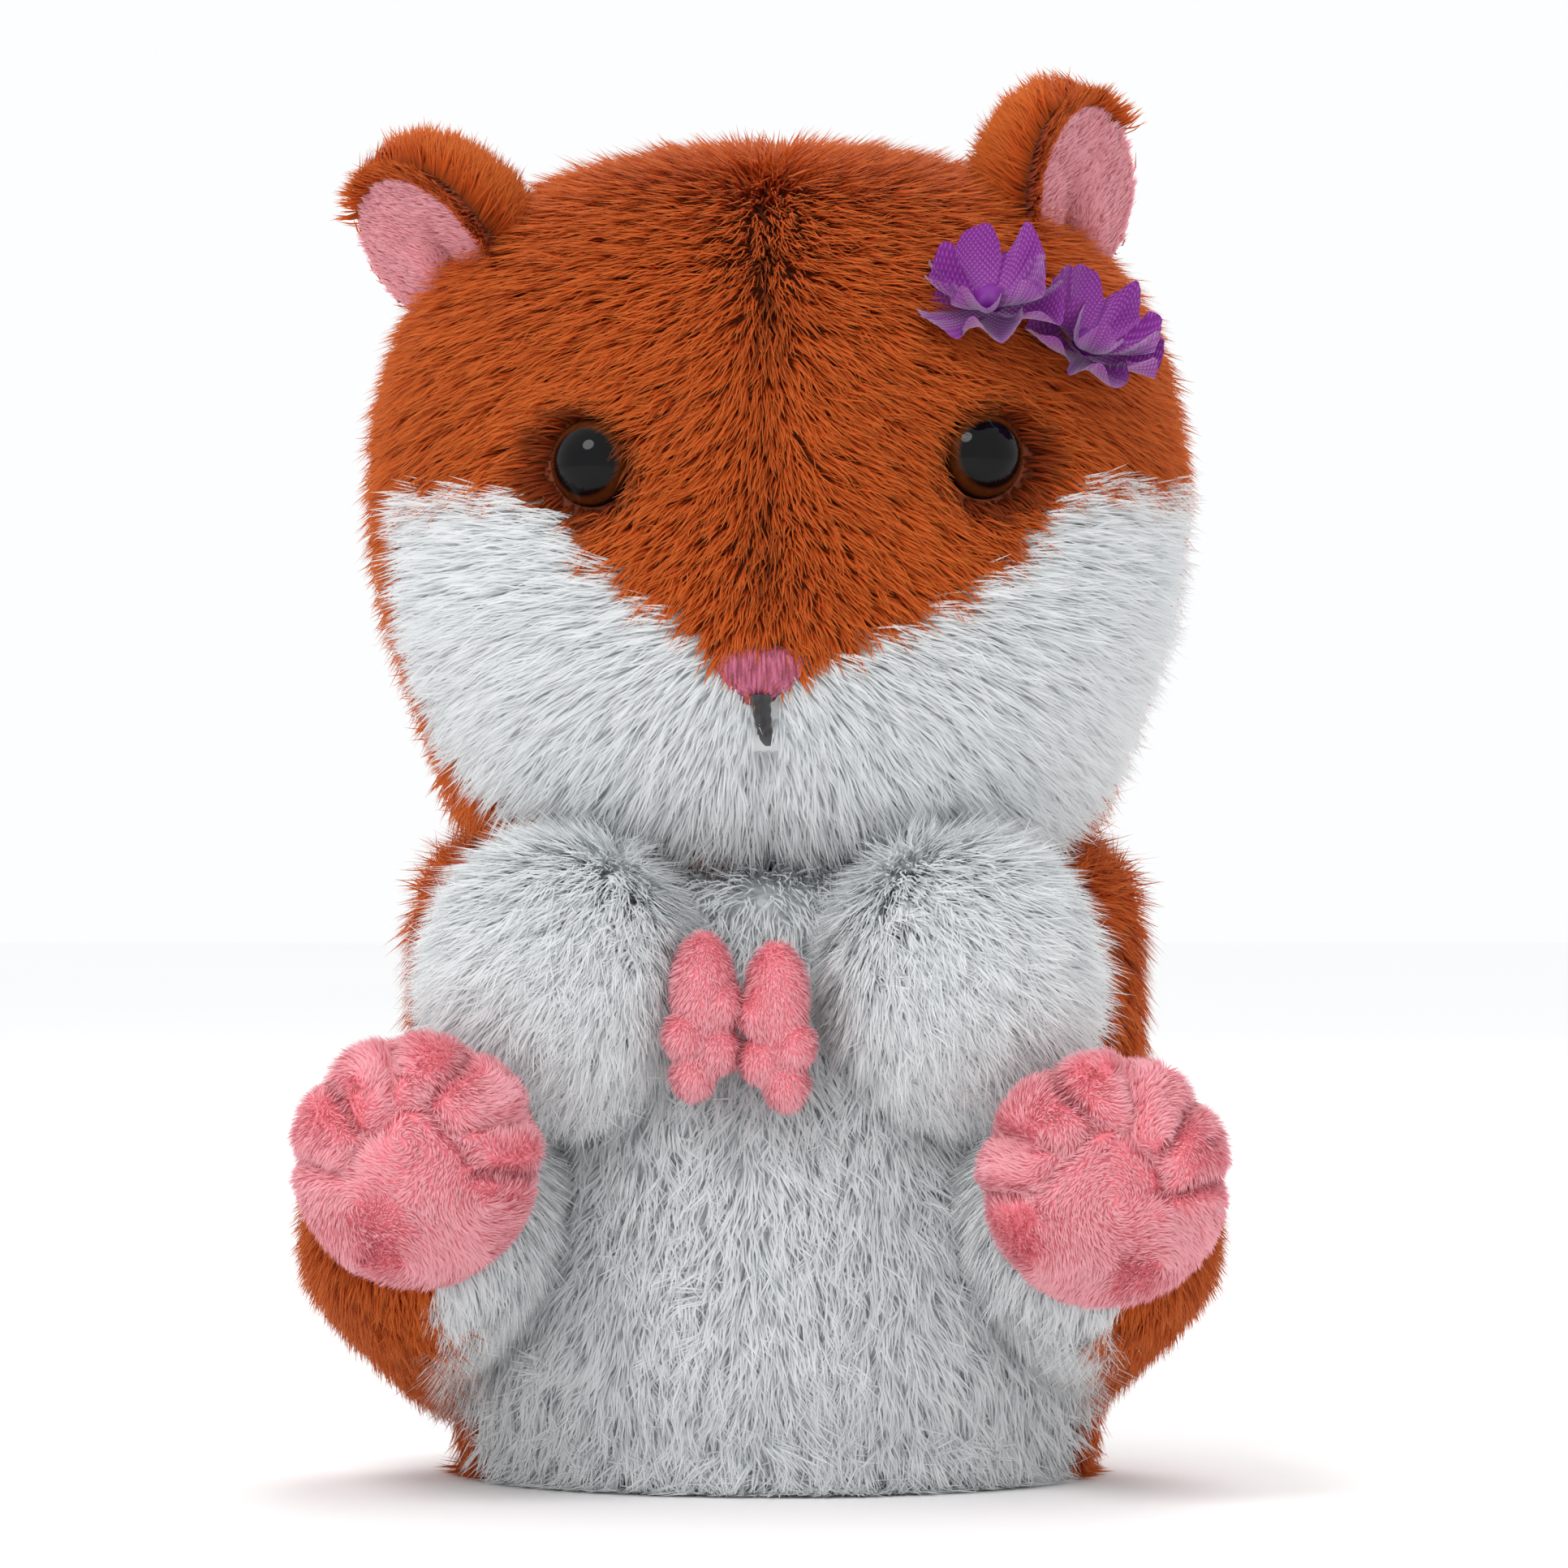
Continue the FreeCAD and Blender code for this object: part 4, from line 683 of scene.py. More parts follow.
BODY_RINGS = [
    (0.9, 20.0, 18.0, 0.0), (1.0, 42.8, 36.8, -0.5), (5.0, 46.5, 41.5, -1.5), (20.0, 51.5, 46.0, -2.5),
    (40.0, 53.5, 46.5, -2.5), (60.0, 54.5, 46.0, -2.0), (76.0, 54.5, 44.5, -1.0), (86.0, 53.6, 43.0, 0.0),
    (91.5, 50.5, 40.0, 0.0), (94.2, 43.5, 34.5, 0.0), (94.5, 24.0, 22.0, 0.0), (94.6, 6.0, 6.0, 0.0),
]
SKIN_INSET = 2.5          # the backing lies this far inside the outline of the pile
EYES = {"left": (32.6, 152.4, 24.0), "right": (-24.6, 151.2, -22.0)}
EYE_CLEAR = 6.4           # no pile grows nearer than this to the middle of an eye
EYE_BULGE = 4.6           # height of an eye's dome above its flat back
CHEEK_X = [-75, -34, -28, -24, -17, -8, -6, 0, 6, 16, 28, 37.5, 39.5, 46, 75]
CHEEK_Z = [147, 147, 144, 139, 133, 127, 121.5, 121, 121.5, 127, 133, 140, 145, 148.5, 148]
SEAM_X = 0.8              # the centre seam of the forehead
DOWN = np.array([0.0, 0.0, -1.0])


def eye_seats():
    """Each eye's axis and the middle of its flat back."""
    seats = []
    for side, (_, _, turn) in EYES.items():
        axis = np.array([math.sin(math.radians(turn)), -math.cos(math.radians(turn)), 0.0])
        dome = np.array([v.co for v in frame["nodes"][f"{side}_eye"].data.vertices]) / MM
        seats.append((axis, dome[np.argmax(dome @ axis)] - EYE_BULGE * axis))
    return seats


def from_eye(p, axis, seat):
    """Arms from an eye's axis to places, and the height of the places above the eye's flat back."""
    arm = p - seat
    rise = arm @ axis
    return arm - rise[:, None] * axis, rise


def eye_distance(p):
    """Distance of places on the face from the axis of the nearer eye."""
    away = [np.linalg.norm(from_eye(p, *seat)[0], axis=1) for seat in eye_seats()]
    return np.where(p[:, 1] < 0, np.minimum(*away), 99.0)


def round_eyes(p, flow, force):
    """Turns the pile next to an eye away from it."""
    for seat in eye_seats():
        arm = from_eye(p, *seat)[0]
        away = np.linalg.norm(arm, axis=1)
        near = np.exp(-(np.maximum(away - 6.5, 0) / 4.0) ** 2) * (p[:, 1] < 0)
        flow = flow + force * near[:, None] * unit(arm)
    return flow


def head_form():
    """The head's backing: puffed cheeks, a muzzle, a parted mouth, sunk eyes and a seam on the crown."""
    def amount(p):
        front = smooth_step(-p[:, 1], 0, 25)
        out = 4.2 * (bump(p, (38, -34, 122), 17) + bump(p, (-33, -34, 122), 17))
        out += 4.5 * bump(p, (1, -48, 122), 12)
        out -= 2.0 * np.exp(-((p[:, 0] - 0.5) / 2.6) ** 2) * smooth_step(-p[:, 2], -113, -108) * front
        out -= 0.6 * np.exp(-((p[:, 0] - SEAM_X) / 2.2) ** 2) * smooth_step(p[:, 2], 125, 140)
        return out
    points, faces = pushed(stuffed_form(HEAD_RINGS, SKIN_INSET, 100, 160, PLUSH_SHIFT), amount)
    for axis, seat in eye_seats():
        arm, rise = from_eye(points, axis, seat)
        under = 1 - smooth_step(np.linalg.norm(arm, axis=1), 7.5, 11.5)
        points = points - (under * np.maximum(rise + 0.3, 0) * (points[:, 1] < 0))[:, None] * axis
    return points, faces


def body_form():
    """The body's backing, fuller at the belly."""
    def amount(p):
        return 2.0 * bump(p, (3, -48, 22), 20) - 1.0 * bump(p, (0, -46, 72), 14)
    return pushed(stuffed_form(BODY_RINGS, SKIN_INSET, 90, 140, PLUSH_SHIFT, 8.0), amount)


def is_cheek(p):
    """Whether a place on the head lies on a white panel."""
    wave = 0.8 * np.sin(p[:, 0] * 0.9) + 0.6 * np.sin(p[:, 0] * 2.3 + 1)
    seam = np.where(p[:, 0] > 0, -12.0, -24.5) - 0.9 * np.maximum(112 - p[:, 2], 0)
    return (p[:, 1] < seam) & (p[:, 2] < np.interp(p[:, 0], CHEEK_X, CHEEK_Z) + wave)


def is_belly(p):
    """Whether a place on the body lies on the white panel."""
    half = np.interp(p[:, 2], [0, 12, 30, 60, 95], [48, 46, 41, 40, 40])
    return (p[:, 1] < -16) & (np.abs(p[:, 0] - PLUSH_SHIFT) < half)


LEG_RINGS = [
    (-15.4, 1.0, 0.0), (-15.0, 6.0, 0.0), (-12.0, 11.0, 0.0), (-4.0, 15.2, 0.0), (12.0, 16.2, 0.0),
    (24.0, 16.8, 0.6), (34.0, 18.0, 2.4), (46.0, 18.4, 4.2), (55.0, 16.0, 4.6), (60.0, 12.0, 4.6),
    (61.0, 2.0, 4.6),
]
LEG_PANEL = {1: 51.0, -1: 46.0}     # the white panel of a leg ends this far from the middle
LEG_HIP = (53.0, -4.0, 27.0)
LEG_RISE = math.radians(20.0)


def leg_form(way, inset=3.0, rows=44, around=64):
    """A leg's backing, along -Y from the hip and up."""
    rings = smooth_rows(LEG_RINGS, rows)
    turn = np.linspace(0, 2 * math.pi, around, endpoint=False)
    points = []
    middle = 22.0
    for distance, half, inward in rings:
        distance -= inset * (distance - middle) / 38
        half = max(half - inset, 0.4)
        x = -way * inward + half * np.cos(turn)
        z = half * 1.1 * np.sin(turn)
        points.append(np.column_stack([x, np.full(around, -distance), z]))
    points.append([[-way * rings[0, 2], -(rings[0, 0] + inset), 0]])
    points.append([[-way * rings[-1, 2], -(rings[-1, 0] - inset), 0]])
    points = np.vstack(points)
    y, z = points[:, 1].copy(), points[:, 2].copy()
    points[:, 1] = y * math.cos(LEG_RISE) + z * math.sin(LEG_RISE)
    points[:, 2] = -y * math.sin(LEG_RISE) + z * math.cos(LEG_RISE)
    points += np.array([way * LEG_HIP[0], LEG_HIP[1], LEG_HIP[2]])
    out = np.maximum(points[:, 0] * way - 36, 0)
    points[:, 0] -= way * out * (0.09 + 0.38 * smooth_step(-points[:, 2], -36, -8))
    return points, tube_faces(rows, around)


def ball_form(centre, half, rows=48, around=72, shape=None):
    """A closed ball form about a pole along Z, shaped by a function of its unit directions."""
    lift = np.linspace(-math.pi / 2, math.pi / 2, rows + 2)[1:-1]
    turn = np.linspace(0, 2 * math.pi, around, endpoint=False)
    points = [np.column_stack([np.cos(a) * np.cos(turn), np.cos(a) * np.sin(turn),
                               np.full(around, np.sin(a))]) for a in lift]
    points = np.vstack(points + [[[0, 0, -1]], [[0, 0, 1]]])
    scale = np.ones(len(points)) if shape is None else shape(points)
    return points * scale[:, None] * np.array(half) + np.array(centre), tube_faces(rows, around)


def foot_shape(way):
    """Toe lobes round the upper edge of a foot, creases between them and a round heel pad."""
    def shape(d):
        across, up = d[:, 0] * way, d[:, 2]
        radius = np.hypot(across, up)
        angle = np.degrees(np.arctan2(up, across))
        front = smooth_step(-d[:, 1], -0.35, 0.3)
        toes = smooth_step(radius, 0.42, 0.62)
        crease = sum(np.exp(-((angle - a + 9 * np.sin(radius * 5)) / 6.5) ** 2)
                     for a in (-8, 32, 70, 108, 150, 188))
        crease += np.exp(-((angle + 172) / 6.5) ** 2)
        ring_at = 0.46 + 0.05 * np.cos(np.radians(angle * 4))
        ring = (np.exp(-((radius - ring_at) / 0.07) ** 2)
                * smooth_step(angle, -25, 5) * smooth_step(-angle, -205, -175))
        lobes = 0.05 * toes * front * smooth_step(up, -0.3, 0.1)
        heel = 0.04 * np.exp(-((across - 0.05) ** 2 + (up + 0.35) ** 2) / 0.1) * front
        cut = 0.15 * crease * toes * smooth_step(up, -0.35, 0.0) + 0.10 * ring
        return 1 + lobes + heel - cut * front
    return shape


FEET = {"left": ((49.5, -66.0, 47.5), 1), "right": ((-49.2, -66.0, 50.3), -1)}
HANDS = {"left": (2.4, -56.0, 69.5), "right": (-8.2, -56.0, 71.0)}
ARM_CENTRE = (27.0, -46.5, 75.5)
EARS = {
    "left": dict(centre=(46.0, -8.0, 193.2), height=16.2, width=13.5, twist=50.0, lean=8.0),
    "right": dict(centre=(-48.0, -10.0, 185.5), height=16.0, width=13.5, twist=-48.0, lean=-40.0),
}
FLOWER_TILT = 42.0        # degrees from level: the flowers look up and forward
FLOWERS = [dict(centre=(33.8, -42.0, 173.5), turn=-6.0), dict(centre=(47.5, -33.5, 167.5), turn=34.0)]


def turned(points, lean, turn, centre, twist=0.0):
    """Points twisted about Z, leaned about Y, turned about Z and carried to a centre."""
    matrix = (Matrix.Rotation(math.radians(turn), 3, "Z") @ Matrix.Rotation(math.radians(lean), 3, "Y")
              @ Matrix.Rotation(math.radians(twist), 3, "Z"))
    return points @ np.array(matrix).T + np.array(centre)


def ear_forms(side):
    """One ear as a furred back with its rim, and a pink dished lining with a fold."""
    ear = EARS[side]
    way = 1 if side == "left" else -1
    wide, tall = ear["width"] - 1.0, ear["height"] - 2.0
    rows, around = 26, 64
    radius = np.linspace(0, 1, rows)[1:]
    turn = np.linspace(0, 2 * math.pi, around, endpoint=False)
    u = np.outer(radius, np.cos(turn)).ravel()
    w = np.outer(radius, np.sin(turn)).ravel()
    r = np.repeat(radius, around)
    cup = -2.6 * u * u - 1.4 * w * w
    back = 10.5 * np.sqrt(np.maximum(1 - r ** 2.2, 0)) + cup
    fold = np.exp(-((u * way + 0.05 + 0.25 * w) / 0.16) ** 2) * smooth_step(-w, -0.35, 0.45)
    lip = np.exp(-((u * way - 0.35 + 0.2 * w) / 0.2) ** 2) * smooth_step(-w, -0.5, 0.5)
    dish = (1.2 * (1 - r * r) - 2.8 * fold + 1.6 * lip) * (1 - r ** 5)
    front = cup - dish
    forms = []
    count = len(radius)
    for v, top in ((back, 10.5), (front, -0.8)):
        faces = []
        for i in range(count - 1):
            for k in range(around):
                n = (k + 1) % around
                low, high = i * around, (i + 1) * around
                faces.append((low + k, high + k, high + n, low + n))
        faces += [(count * around, k, (k + 1) % around) for k in range(around)]
        if top > 0:
            faces = [tuple(reversed(f)) for f in faces]
        points = np.vstack([np.column_stack([u * wide, v, w * tall]), [[0, top, 0]]])
        forms.append((turned(points, ear["lean"], 0.0, ear["centre"], ear["twist"]), faces))
    (back_points, back_faces), (front_points, front_faces) = forms
    size = len(back_points)
    rim = (count - 1) * around
    joined = np.vstack([back_points, front_points])
    faces = back_faces + [tuple(i + size for i in f) for f in front_faces]
    for i in range(around):
        j = (i + 1) % around
        faces.append((rim + i, rim + j, size + rim + j, size + rim + i))
    return (joined, faces), forms[0], forms[1]


def petal_ring(radius, petals, turn_offset, cup, seed, centre, turn, level):
    """One cut layer of petals: a round cloth with notches, ruffled, with a frayed edge."""
    rng = np.random.default_rng(seed)
    around, rows = 220, 26
    angle = np.linspace(0, 2 * math.pi, around, endpoint=False)
    phase = angle * petals / 2 + turn_offset
    edge = radius * (0.60 + 0.40 * np.abs(np.cos(phase)) ** 0.5)
    edge = edge + rng.normal(0, 0.10, around)
    lift = rng.uniform(-0.8, 1.6, petals + 1)
    which = np.floor((phase / math.pi) + 0.5).astype(int) % petals
    waves = np.sin(angle * (petals + 2) + seed) * 1.9 + np.sin(angle * 11 + seed * 2) * 0.9
    points, place = [[0, 0, level]], [[0.5, 0.5]]
    for r in np.linspace(0, 1, rows)[1:]:
        x, y = edge * r * np.cos(angle), edge * r * np.sin(angle)
        curl = cup * r ** 1.6 + (lift[which] * 1.2) * r ** 2 + waves * r ** 2.5
        pull = 1 - 0.18 * r * r
        points += np.column_stack([x * pull, y * pull, level + curl]).tolist()
        place += np.column_stack([0.5 + x / (2.3 * radius), 0.5 + y / (2.3 * radius)]).tolist()
    flat = 0.5 * np.sum(edge * np.roll(edge, -1)) * math.sin(2 * math.pi / around)
    faces = [(0, 1 + i, 1 + (i + 1) % around) for i in range(around)]
    for r in range(rows - 2):
        for i in range(around):
            j = (i + 1) % around
            low = 1 + r * around
            faces.append((low + i, low + around + i, low + around + j, low + j))
    points = np.array(points)
    tilt = np.array(Matrix.Rotation(math.radians(FLOWER_TILT), 3, "X"))
    points = turned(points @ tilt.T, 0.0, turn, centre)
    return points, faces, np.array(place), flat


PAINTED_DEEP_SHADE = linear(46, 16, 6)   # painted shade: the darkest pile colour, round the sunk eyes
# painted shade: the orange and pink backings are darker than their pile, as shade between the fibres
BACKINGS = {
    "Orange backing with painted shade": linear(120, 52, 18),
    "White backing": linear(228, 231, 231),
    "Pink backing": linear(240, 136, 148),
}


def paint_white(piece, chosen):
    """Gives the faces of a piece whose middles are chosen a white backing."""
    piece.data.materials.append(backing_cloth("White backing"))
    middles = np.empty(len(piece.data.polygons) * 3)
    piece.data.polygons.foreach_get("center", middles)
    piece.data.polygons.foreach_set("material_index", chosen(middles.reshape(-1, 3) / MM).astype(np.int32))


# ---- pieces -------------------------------------------------------------------------------------------
class HAMSTER_OT_head(bpy.types.Operator):
    """Builds the head: the stuffed form and its orange and white pile"""

    bl_idname = "hamster.head"
    bl_label = "Head"

    def execute(self, context):
        rng = np.random.default_rng(11)
        form = head_form()
        piece = stuffed("head_plush", form, "head", backing_cloth("Orange backing with painted shade"),
                        ["crown_cover"])
        paint_white(piece, is_cheek)
        places, outward = scatter(form, many(162000), rng)
        white = is_cheek(places)
        lift = places[:, 2] < 95.9
        under = lift & (np.hypot(places[:, 0] - PLUSH_SHIFT, places[:, 1] + 2) < 30)
        self.crown(places[~white & ~under], outward[~white & ~under], rng)
        for side, way in (("left", 1), ("right", -1)):
            mine = white & (places[:, 0] * way > 0) & ~lift
            self.cheek(side, places[mine], outward[mine], rng)
        return {"FINISHED"}

    def crown(self, p, n, rng):
        """Orange pile, parted along the forehead's seam and shorter round the eyes."""
        side = np.tanh((p[:, 0] - SEAM_X) / 9.0)
        face = smooth_step(-p[:, 1], 5, 30)
        flow = np.column_stack([side * (0.75 + 0.2 * face), 0.55 - 0.6 * face, -0.45 - 0.25 * face])
        nose_near = bump(p, (0, -52, 124), 14)
        flow += nose_near[:, None] * np.array([0, 0, -1.2])
        eye = eye_distance(p)
        length = pile_length("orange") * (1 - 0.45 * np.exp(-(eye / 8.0) ** 2) - 0.3 * nose_near)
        seam = np.exp(-((p[:, 0] - SEAM_X) / 2.4) ** 2) * smooth_step(p[:, 2], 120, 135) * (p[:, 1] < 10)
        # painted shade: the pile is darker along the parted seam and darkest round the sunk eyes
        tint = 0.55 - 0.36 * seam - 0.8 * np.exp(-(eye / 9.4) ** 6)
        tint += 0.12 * np.sin(p[:, 0] * 0.21 + 1) * np.sin(p[:, 2] * 0.17) - 0.08 * (p[:, 1] > 20)
        flow = round_eyes(p, flow, 0.9)
        low = 1 - smooth_step(p[:, 2], 98, 112)
        flow = flow * (1 - 0.6 * low[:, None]) + 0.7 * low[:, None] * DOWN
        length = length * (1 + 0.4 * low)
        keep = eye > EYE_CLEAR
        for name, part in (("crown_pile_front", p[:, 1] < 5), ("crown_pile_back", p[:, 1] >= 5)):
            m = keep & part
            grow_pile(name, p[m], n[m], flow[m], length[m], "head", "orange_pile", rng, tint=tint[m])

    def cheek(self, side, p, n, rng):
        """White pile that runs out and down from the nose."""
        low = 1 - smooth_step(p[:, 2], 97, 106)
        flow = unit(p - np.array([0, -50, 124])) + 0.5 * DOWN + 0.5 * low[:, None] * unit(p * [1, 1, 0])
        near = bump(p, (0, -50, 116), 9)
        eye = eye_distance(p)
        length = pile_length("white") * (1 + 0.4 * low - 0.45 * near - 0.5 * np.exp(-(eye / 8.0) ** 2))
        parted = np.exp(-((p[:, 0] - 0.5) / 2.0) ** 2)
        # painted shade: the white pile is darker in the parting down the middle under the nose
        tint = 0.78 - 0.3 * parted + 0.1 * np.sin(p[:, 0] * 0.3)
        flow = round_eyes(p, flow, 1.2)
        keep = (eye > EYE_CLEAR) & ~((np.abs(p[:, 0] - 0.7) < 1.7) & (p[:, 2] > 109.5) & (p[:, 1] < -30))
        made = grow_pile(f"{side}_cheek_pile", p[keep], n[keep], flow[keep], length[keep], "head",
                         "white_pile", rng, lean=(0.3, 0.72), tint=tint[keep])
        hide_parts(f"{side}_cheek_cover")


class HAMSTER_OT_body(bpy.types.Operator):
    """Builds the body: the stuffed form with orange back and white belly pile, and the tail"""

    bl_idname = "hamster.body"
    bl_label = "Body"

    def execute(self, context):
        rng = np.random.default_rng(23)
        form = body_form()
        form[0][:, 2] = np.maximum(form[0][:, 2], 1.2)
        piece = stuffed("body_plush", form, "torso", backing_cloth("Orange backing with painted shade"),
                        ["back_cover"])
        paint_white(piece, is_belly)
        p, n = scatter(form, many(118000), rng)
        under = (p[:, 2] < 2.5) & (np.hypot(p[:, 0] / 42, p[:, 1] / 37) < 0.98)
        white = is_belly(p) & ~under
        on_top = (p[:, 2] > 94) & (np.hypot(p[:, 0] - PLUSH_SHIFT, p[:, 1]) < 34)
        orange = ~is_belly(p) & ~under & ~on_top
        down = np.broadcast_to(DOWN, p.shape)
        high = (smooth_step(p[:, 2], 78, 92)[:, None] * (p[:, 1:2] > -30)
                * smooth_step(-p[:, 1:2], -30, -5))
        flow = down * (1 - high) + (0.35 + 0.35 * high) * unit(p * np.array([1, 1, 0])) - 0.9 * high * DOWN
        low = 1 - smooth_step(p[:, 2], 2, 14)
        flow = flow + low[:, None] * unit(p * np.array([1, 1, 0])) * 0.8
        # painted shade: the pile is darker near the floor
        tint = 0.5 + 0.12 * np.sin(p[:, 0] * 0.15) * np.sin(p[:, 2] * 0.2) - 0.1 * low
        for name, half in (("back_pile_left", p[:, 0] > PLUSH_SHIFT),
                           ("back_pile_right", p[:, 0] <= PLUSH_SHIFT)):
            mine = orange & half
            grow_pile(name, p[mine], n[mine], flow[mine],
                      pile_length("orange") * (0.95 + 0.35 * high[mine, 0]), "torso", "orange_pile", rng,
                      tint=tint[mine])
        m = white
        belly = grow_pile("belly_pile", p[m], n[m], flow[m] + 0.25 * np.sin(p[m, :1] * 0.3) * [[1, 0, 0]],
                          pile_length("white"), "torso", "white_pile", rng, lean=(0.35, 0.82),
                          tint=0.42 + 0.1 * np.sin(p[m, 0] * 0.4), stray=0.3)
        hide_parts("belly_cover")
        tail = ball_form((0, 45.5, 14), (6.2, 7.4, 5.8), 24, 36)
        stuffed("tail_plush", tail, "torso",
                backing_cloth("Orange backing with painted shade"), ["tail"])
        p, n = scatter(tail, many(3000), rng)
        grow_pile("tail_pile", p, n, np.broadcast_to([0, 0.8, -0.5], p.shape), 5.0, "torso", "orange_pile",
                  rng, tint=0.5)
        return {"FINISHED"}


class HAMSTER_OT_legs(bpy.types.Operator):
    """Builds both legs: stuffed forms with white pile inside and orange pile outside"""

    bl_idname = "hamster.legs"
    bl_label = "Legs"

    def execute(self, context):
        for side, way, seed in (("left", 1, 31), ("right", -1, 32)):
            rng = np.random.default_rng(seed)
            form = leg_form(way)
            piece = stuffed(f"{side}_leg_plush", form, f"{side}_leg",
                            backing_cloth("Orange backing with painted shade"), [f"{side}_leg"])
            paint_white(piece, lambda q, way=way: q[:, 0] * way < LEG_PANEL[way])
            p, n = scatter(form, many(46000), rng)
            heart, half = FEET[side][0], 15.5
            behind_foot = (p[:, 1] < -56) & (np.hypot(p[:, 0] - heart[0], p[:, 2] - heart[2]) < half)
            edge = LEG_PANEL[way] + 1.5 * np.sin(p[:, 1] * 0.4)
            white = (p[:, 0] * way < edge) & ~behind_foot
            orange = (p[:, 0] * way >= edge) & ~behind_foot
            away = unit((p - np.array(heart)) * np.array([1, 0, 1]))
            flow = 0.9 * away * np.array([1, 0, 1]) + 0.5 * DOWN + np.array([0, -0.25, 0])
            near_foot = smooth_step(-p[:, 1], 48, 58)
            for name, m in (("white", white), ("orange", orange)):
                reach = pile_length(name)
                grow_pile(f"{side}_leg_pile_{name}", p[m], n[m], flow[m], reach * (1 - 0.25 * near_foot[m]),
                          f"{side}_leg", f"{name}_pile", rng, tint=0.5)
        return {"FINISHED"}


class HAMSTER_OT_arms(bpy.types.Operator):
    """Builds both arms: white stuffed sleeves with long spiky pile"""

    bl_idname = "hamster.arms"
    bl_label = "Arms"

    def execute(self, context):
        for side, way, seed in (("left", 1, 41), ("right", -1, 42)):
            rng = np.random.default_rng(seed)
            centre = (way * ARM_CENTRE[0], ARM_CENTRE[1], ARM_CENTRE[2])

            def shape(d, way=way):
                return 1 - 0.10 * smooth_step(-d[:, 2], 0.2, 1) + 0.06 * smooth_step(d[:, 0] * way, 0, 1)

            form = ball_form(centre, (14.6, 9.4, 18.6), 48, 72, shape)
            stuffed(f"{side}_arm_plush", form, f"{side}_arm",
                    backing_cloth("White backing"), [f"{side}_arm"])
            p, n = scatter(form, many(36000), rng)
            hand = np.array(HANDS[side])
            clear = np.hypot(p[:, 0] - hand[0], (p[:, 2] - hand[2]) / 2) > 5.0
            root = np.array([way * 17.0, ARM_CENTRE[1] + 2, 100.0])
            flow = unit(p - root) + 0.35 * np.array([way, 0, -1])
            outer = smooth_step(p[:, 0] * way, 26, 40)
            reach = pile_length("white") * (1.0 + 0.35 * outer)
            near_hand = bump(p, hand, 9)
            grow_pile(f"{side}_arm_pile", p[clear], n[clear], flow[clear],
                      (reach * (1 - 0.4 * near_hand))[clear], f"{side}_arm", "white_pile", rng,
                      lean=(0.3, 0.75), tint=0.8 + 0.1 * np.sin(p[clear, 2] * 0.4), lock=9, pull=0.18,
                      stray=0.3)
        return {"FINISHED"}


class HAMSTER_OT_hands_and_feet(bpy.types.Operator):
    """Builds the pink hands with their fingers and the pink feet with their toes"""

    bl_idname = "hamster.hands_and_feet"
    bl_label = "Hands and feet"

    def execute(self, context):
        cloth = backing_cloth("Pink backing")
        for side, seed in (("left", 51), ("right", 52)):
            rng = np.random.default_rng(seed)
            centre, way = FEET[side]
            form = ball_form(centre, (17.0, 11.6, 17.4), 96, 132, foot_shape(way))
            stuffed(f"{side}_foot_plush", form, f"{side}_leg", cloth, [f"{side}_foot"])
            p, n = scatter(form, many(30000), rng)
            swirl = np.column_stack([np.sin(p[:, 2] * 0.35), np.zeros(len(p)), np.cos(p[:, 0] * 0.35) - 0.4])
            tint = 0.55 + 0.25 * np.sin(p[:, 0] * 0.5 + 1) * np.sin(p[:, 2] * 0.45)
            grow_pile(f"{side}_foot_pile", p, n, swirl, pile_length("pink"), f"{side}_leg", "pink_pile",
                      rng, lean=(0.3, 0.7), tint=tint, width=0.28, lock=20)
            self.hand(side, cloth, rng)
        return {"FINISHED"}

    def hand(self, side, cloth, rng):
        """A palm with round fingers along its edge, grown together."""
        way = 1 if side == "left" else -1
        x, y, z = HANDS[side]
        bpy.ops.object.select_all(action="DESELECT")
        balls = [((0, 0, 3.5), (4.4, 4.0, 8.4)), ((-way * 2.2, -0.9, -5.0), (3.1, 3.2, 3.4)),
                 ((way * 1.4, -0.7, -8.6), (3.1, 3.2, 3.6)), ((-way * 2.8, -1.1, 1.6), (2.8, 3.2, 3.3)),
                 ((way * 2.6, -1.3, -3.0), (3.0, 3.2, 3.4))]
        for place, half in balls:
            bpy.ops.mesh.primitive_uv_sphere_add(segments=28, ring_count=18, radius=1.0)
            ball = bpy.context.object
            ball.data.transform(Matrix.Translation((Vector((x, y, z)) + Vector(place)) * MM)
                                @ Matrix.Diagonal((*[h * MM for h in half], 1.0)))
            ball["hand_part"] = True
        for ball in [o for o in bpy.data.objects if o.get("hand_part")]:
            ball.select_set(True)
        bpy.ops.object.join()
        piece = bpy.context.object
        piece.name = f"{side}_hand_plush"
        del piece["hand_part"]
        remesh = piece.modifiers.new("Grown together", "REMESH")
        remesh.mode = "VOXEL"
        remesh.voxel_size = 0.00062
        bpy.ops.object.modifier_apply(modifier=remesh.name)
        soften = piece.modifiers.new("Soften", "SMOOTH")
        soften.iterations = 5
        bpy.ops.object.modifier_apply(modifier=soften.name)
        piece.data.materials.clear()
        piece.data.materials.append(cloth)
        bpy.ops.object.shade_smooth()
        finish_piece(piece, f"{side}_arm", [f"{side}_hand"])
        mesh = piece.data
        co = np.empty(len(mesh.vertices) * 3)
        mesh.vertices.foreach_get("co", co)
        faces = [tuple(f.vertices) for f in mesh.polygons]
        p, n = scatter((co.reshape(-1, 3) / MM, faces), many(7000), rng)
        grow_pile(f"{side}_hand_pile", p, n, np.broadcast_to([0.2 * way, 0, -1.0], p.shape),
                  pile_length("pink") * 0.8, f"{side}_arm", "pink_pile", rng, lean=(0.3, 0.75), tint=0.45,
                  width=0.26, lock=20)


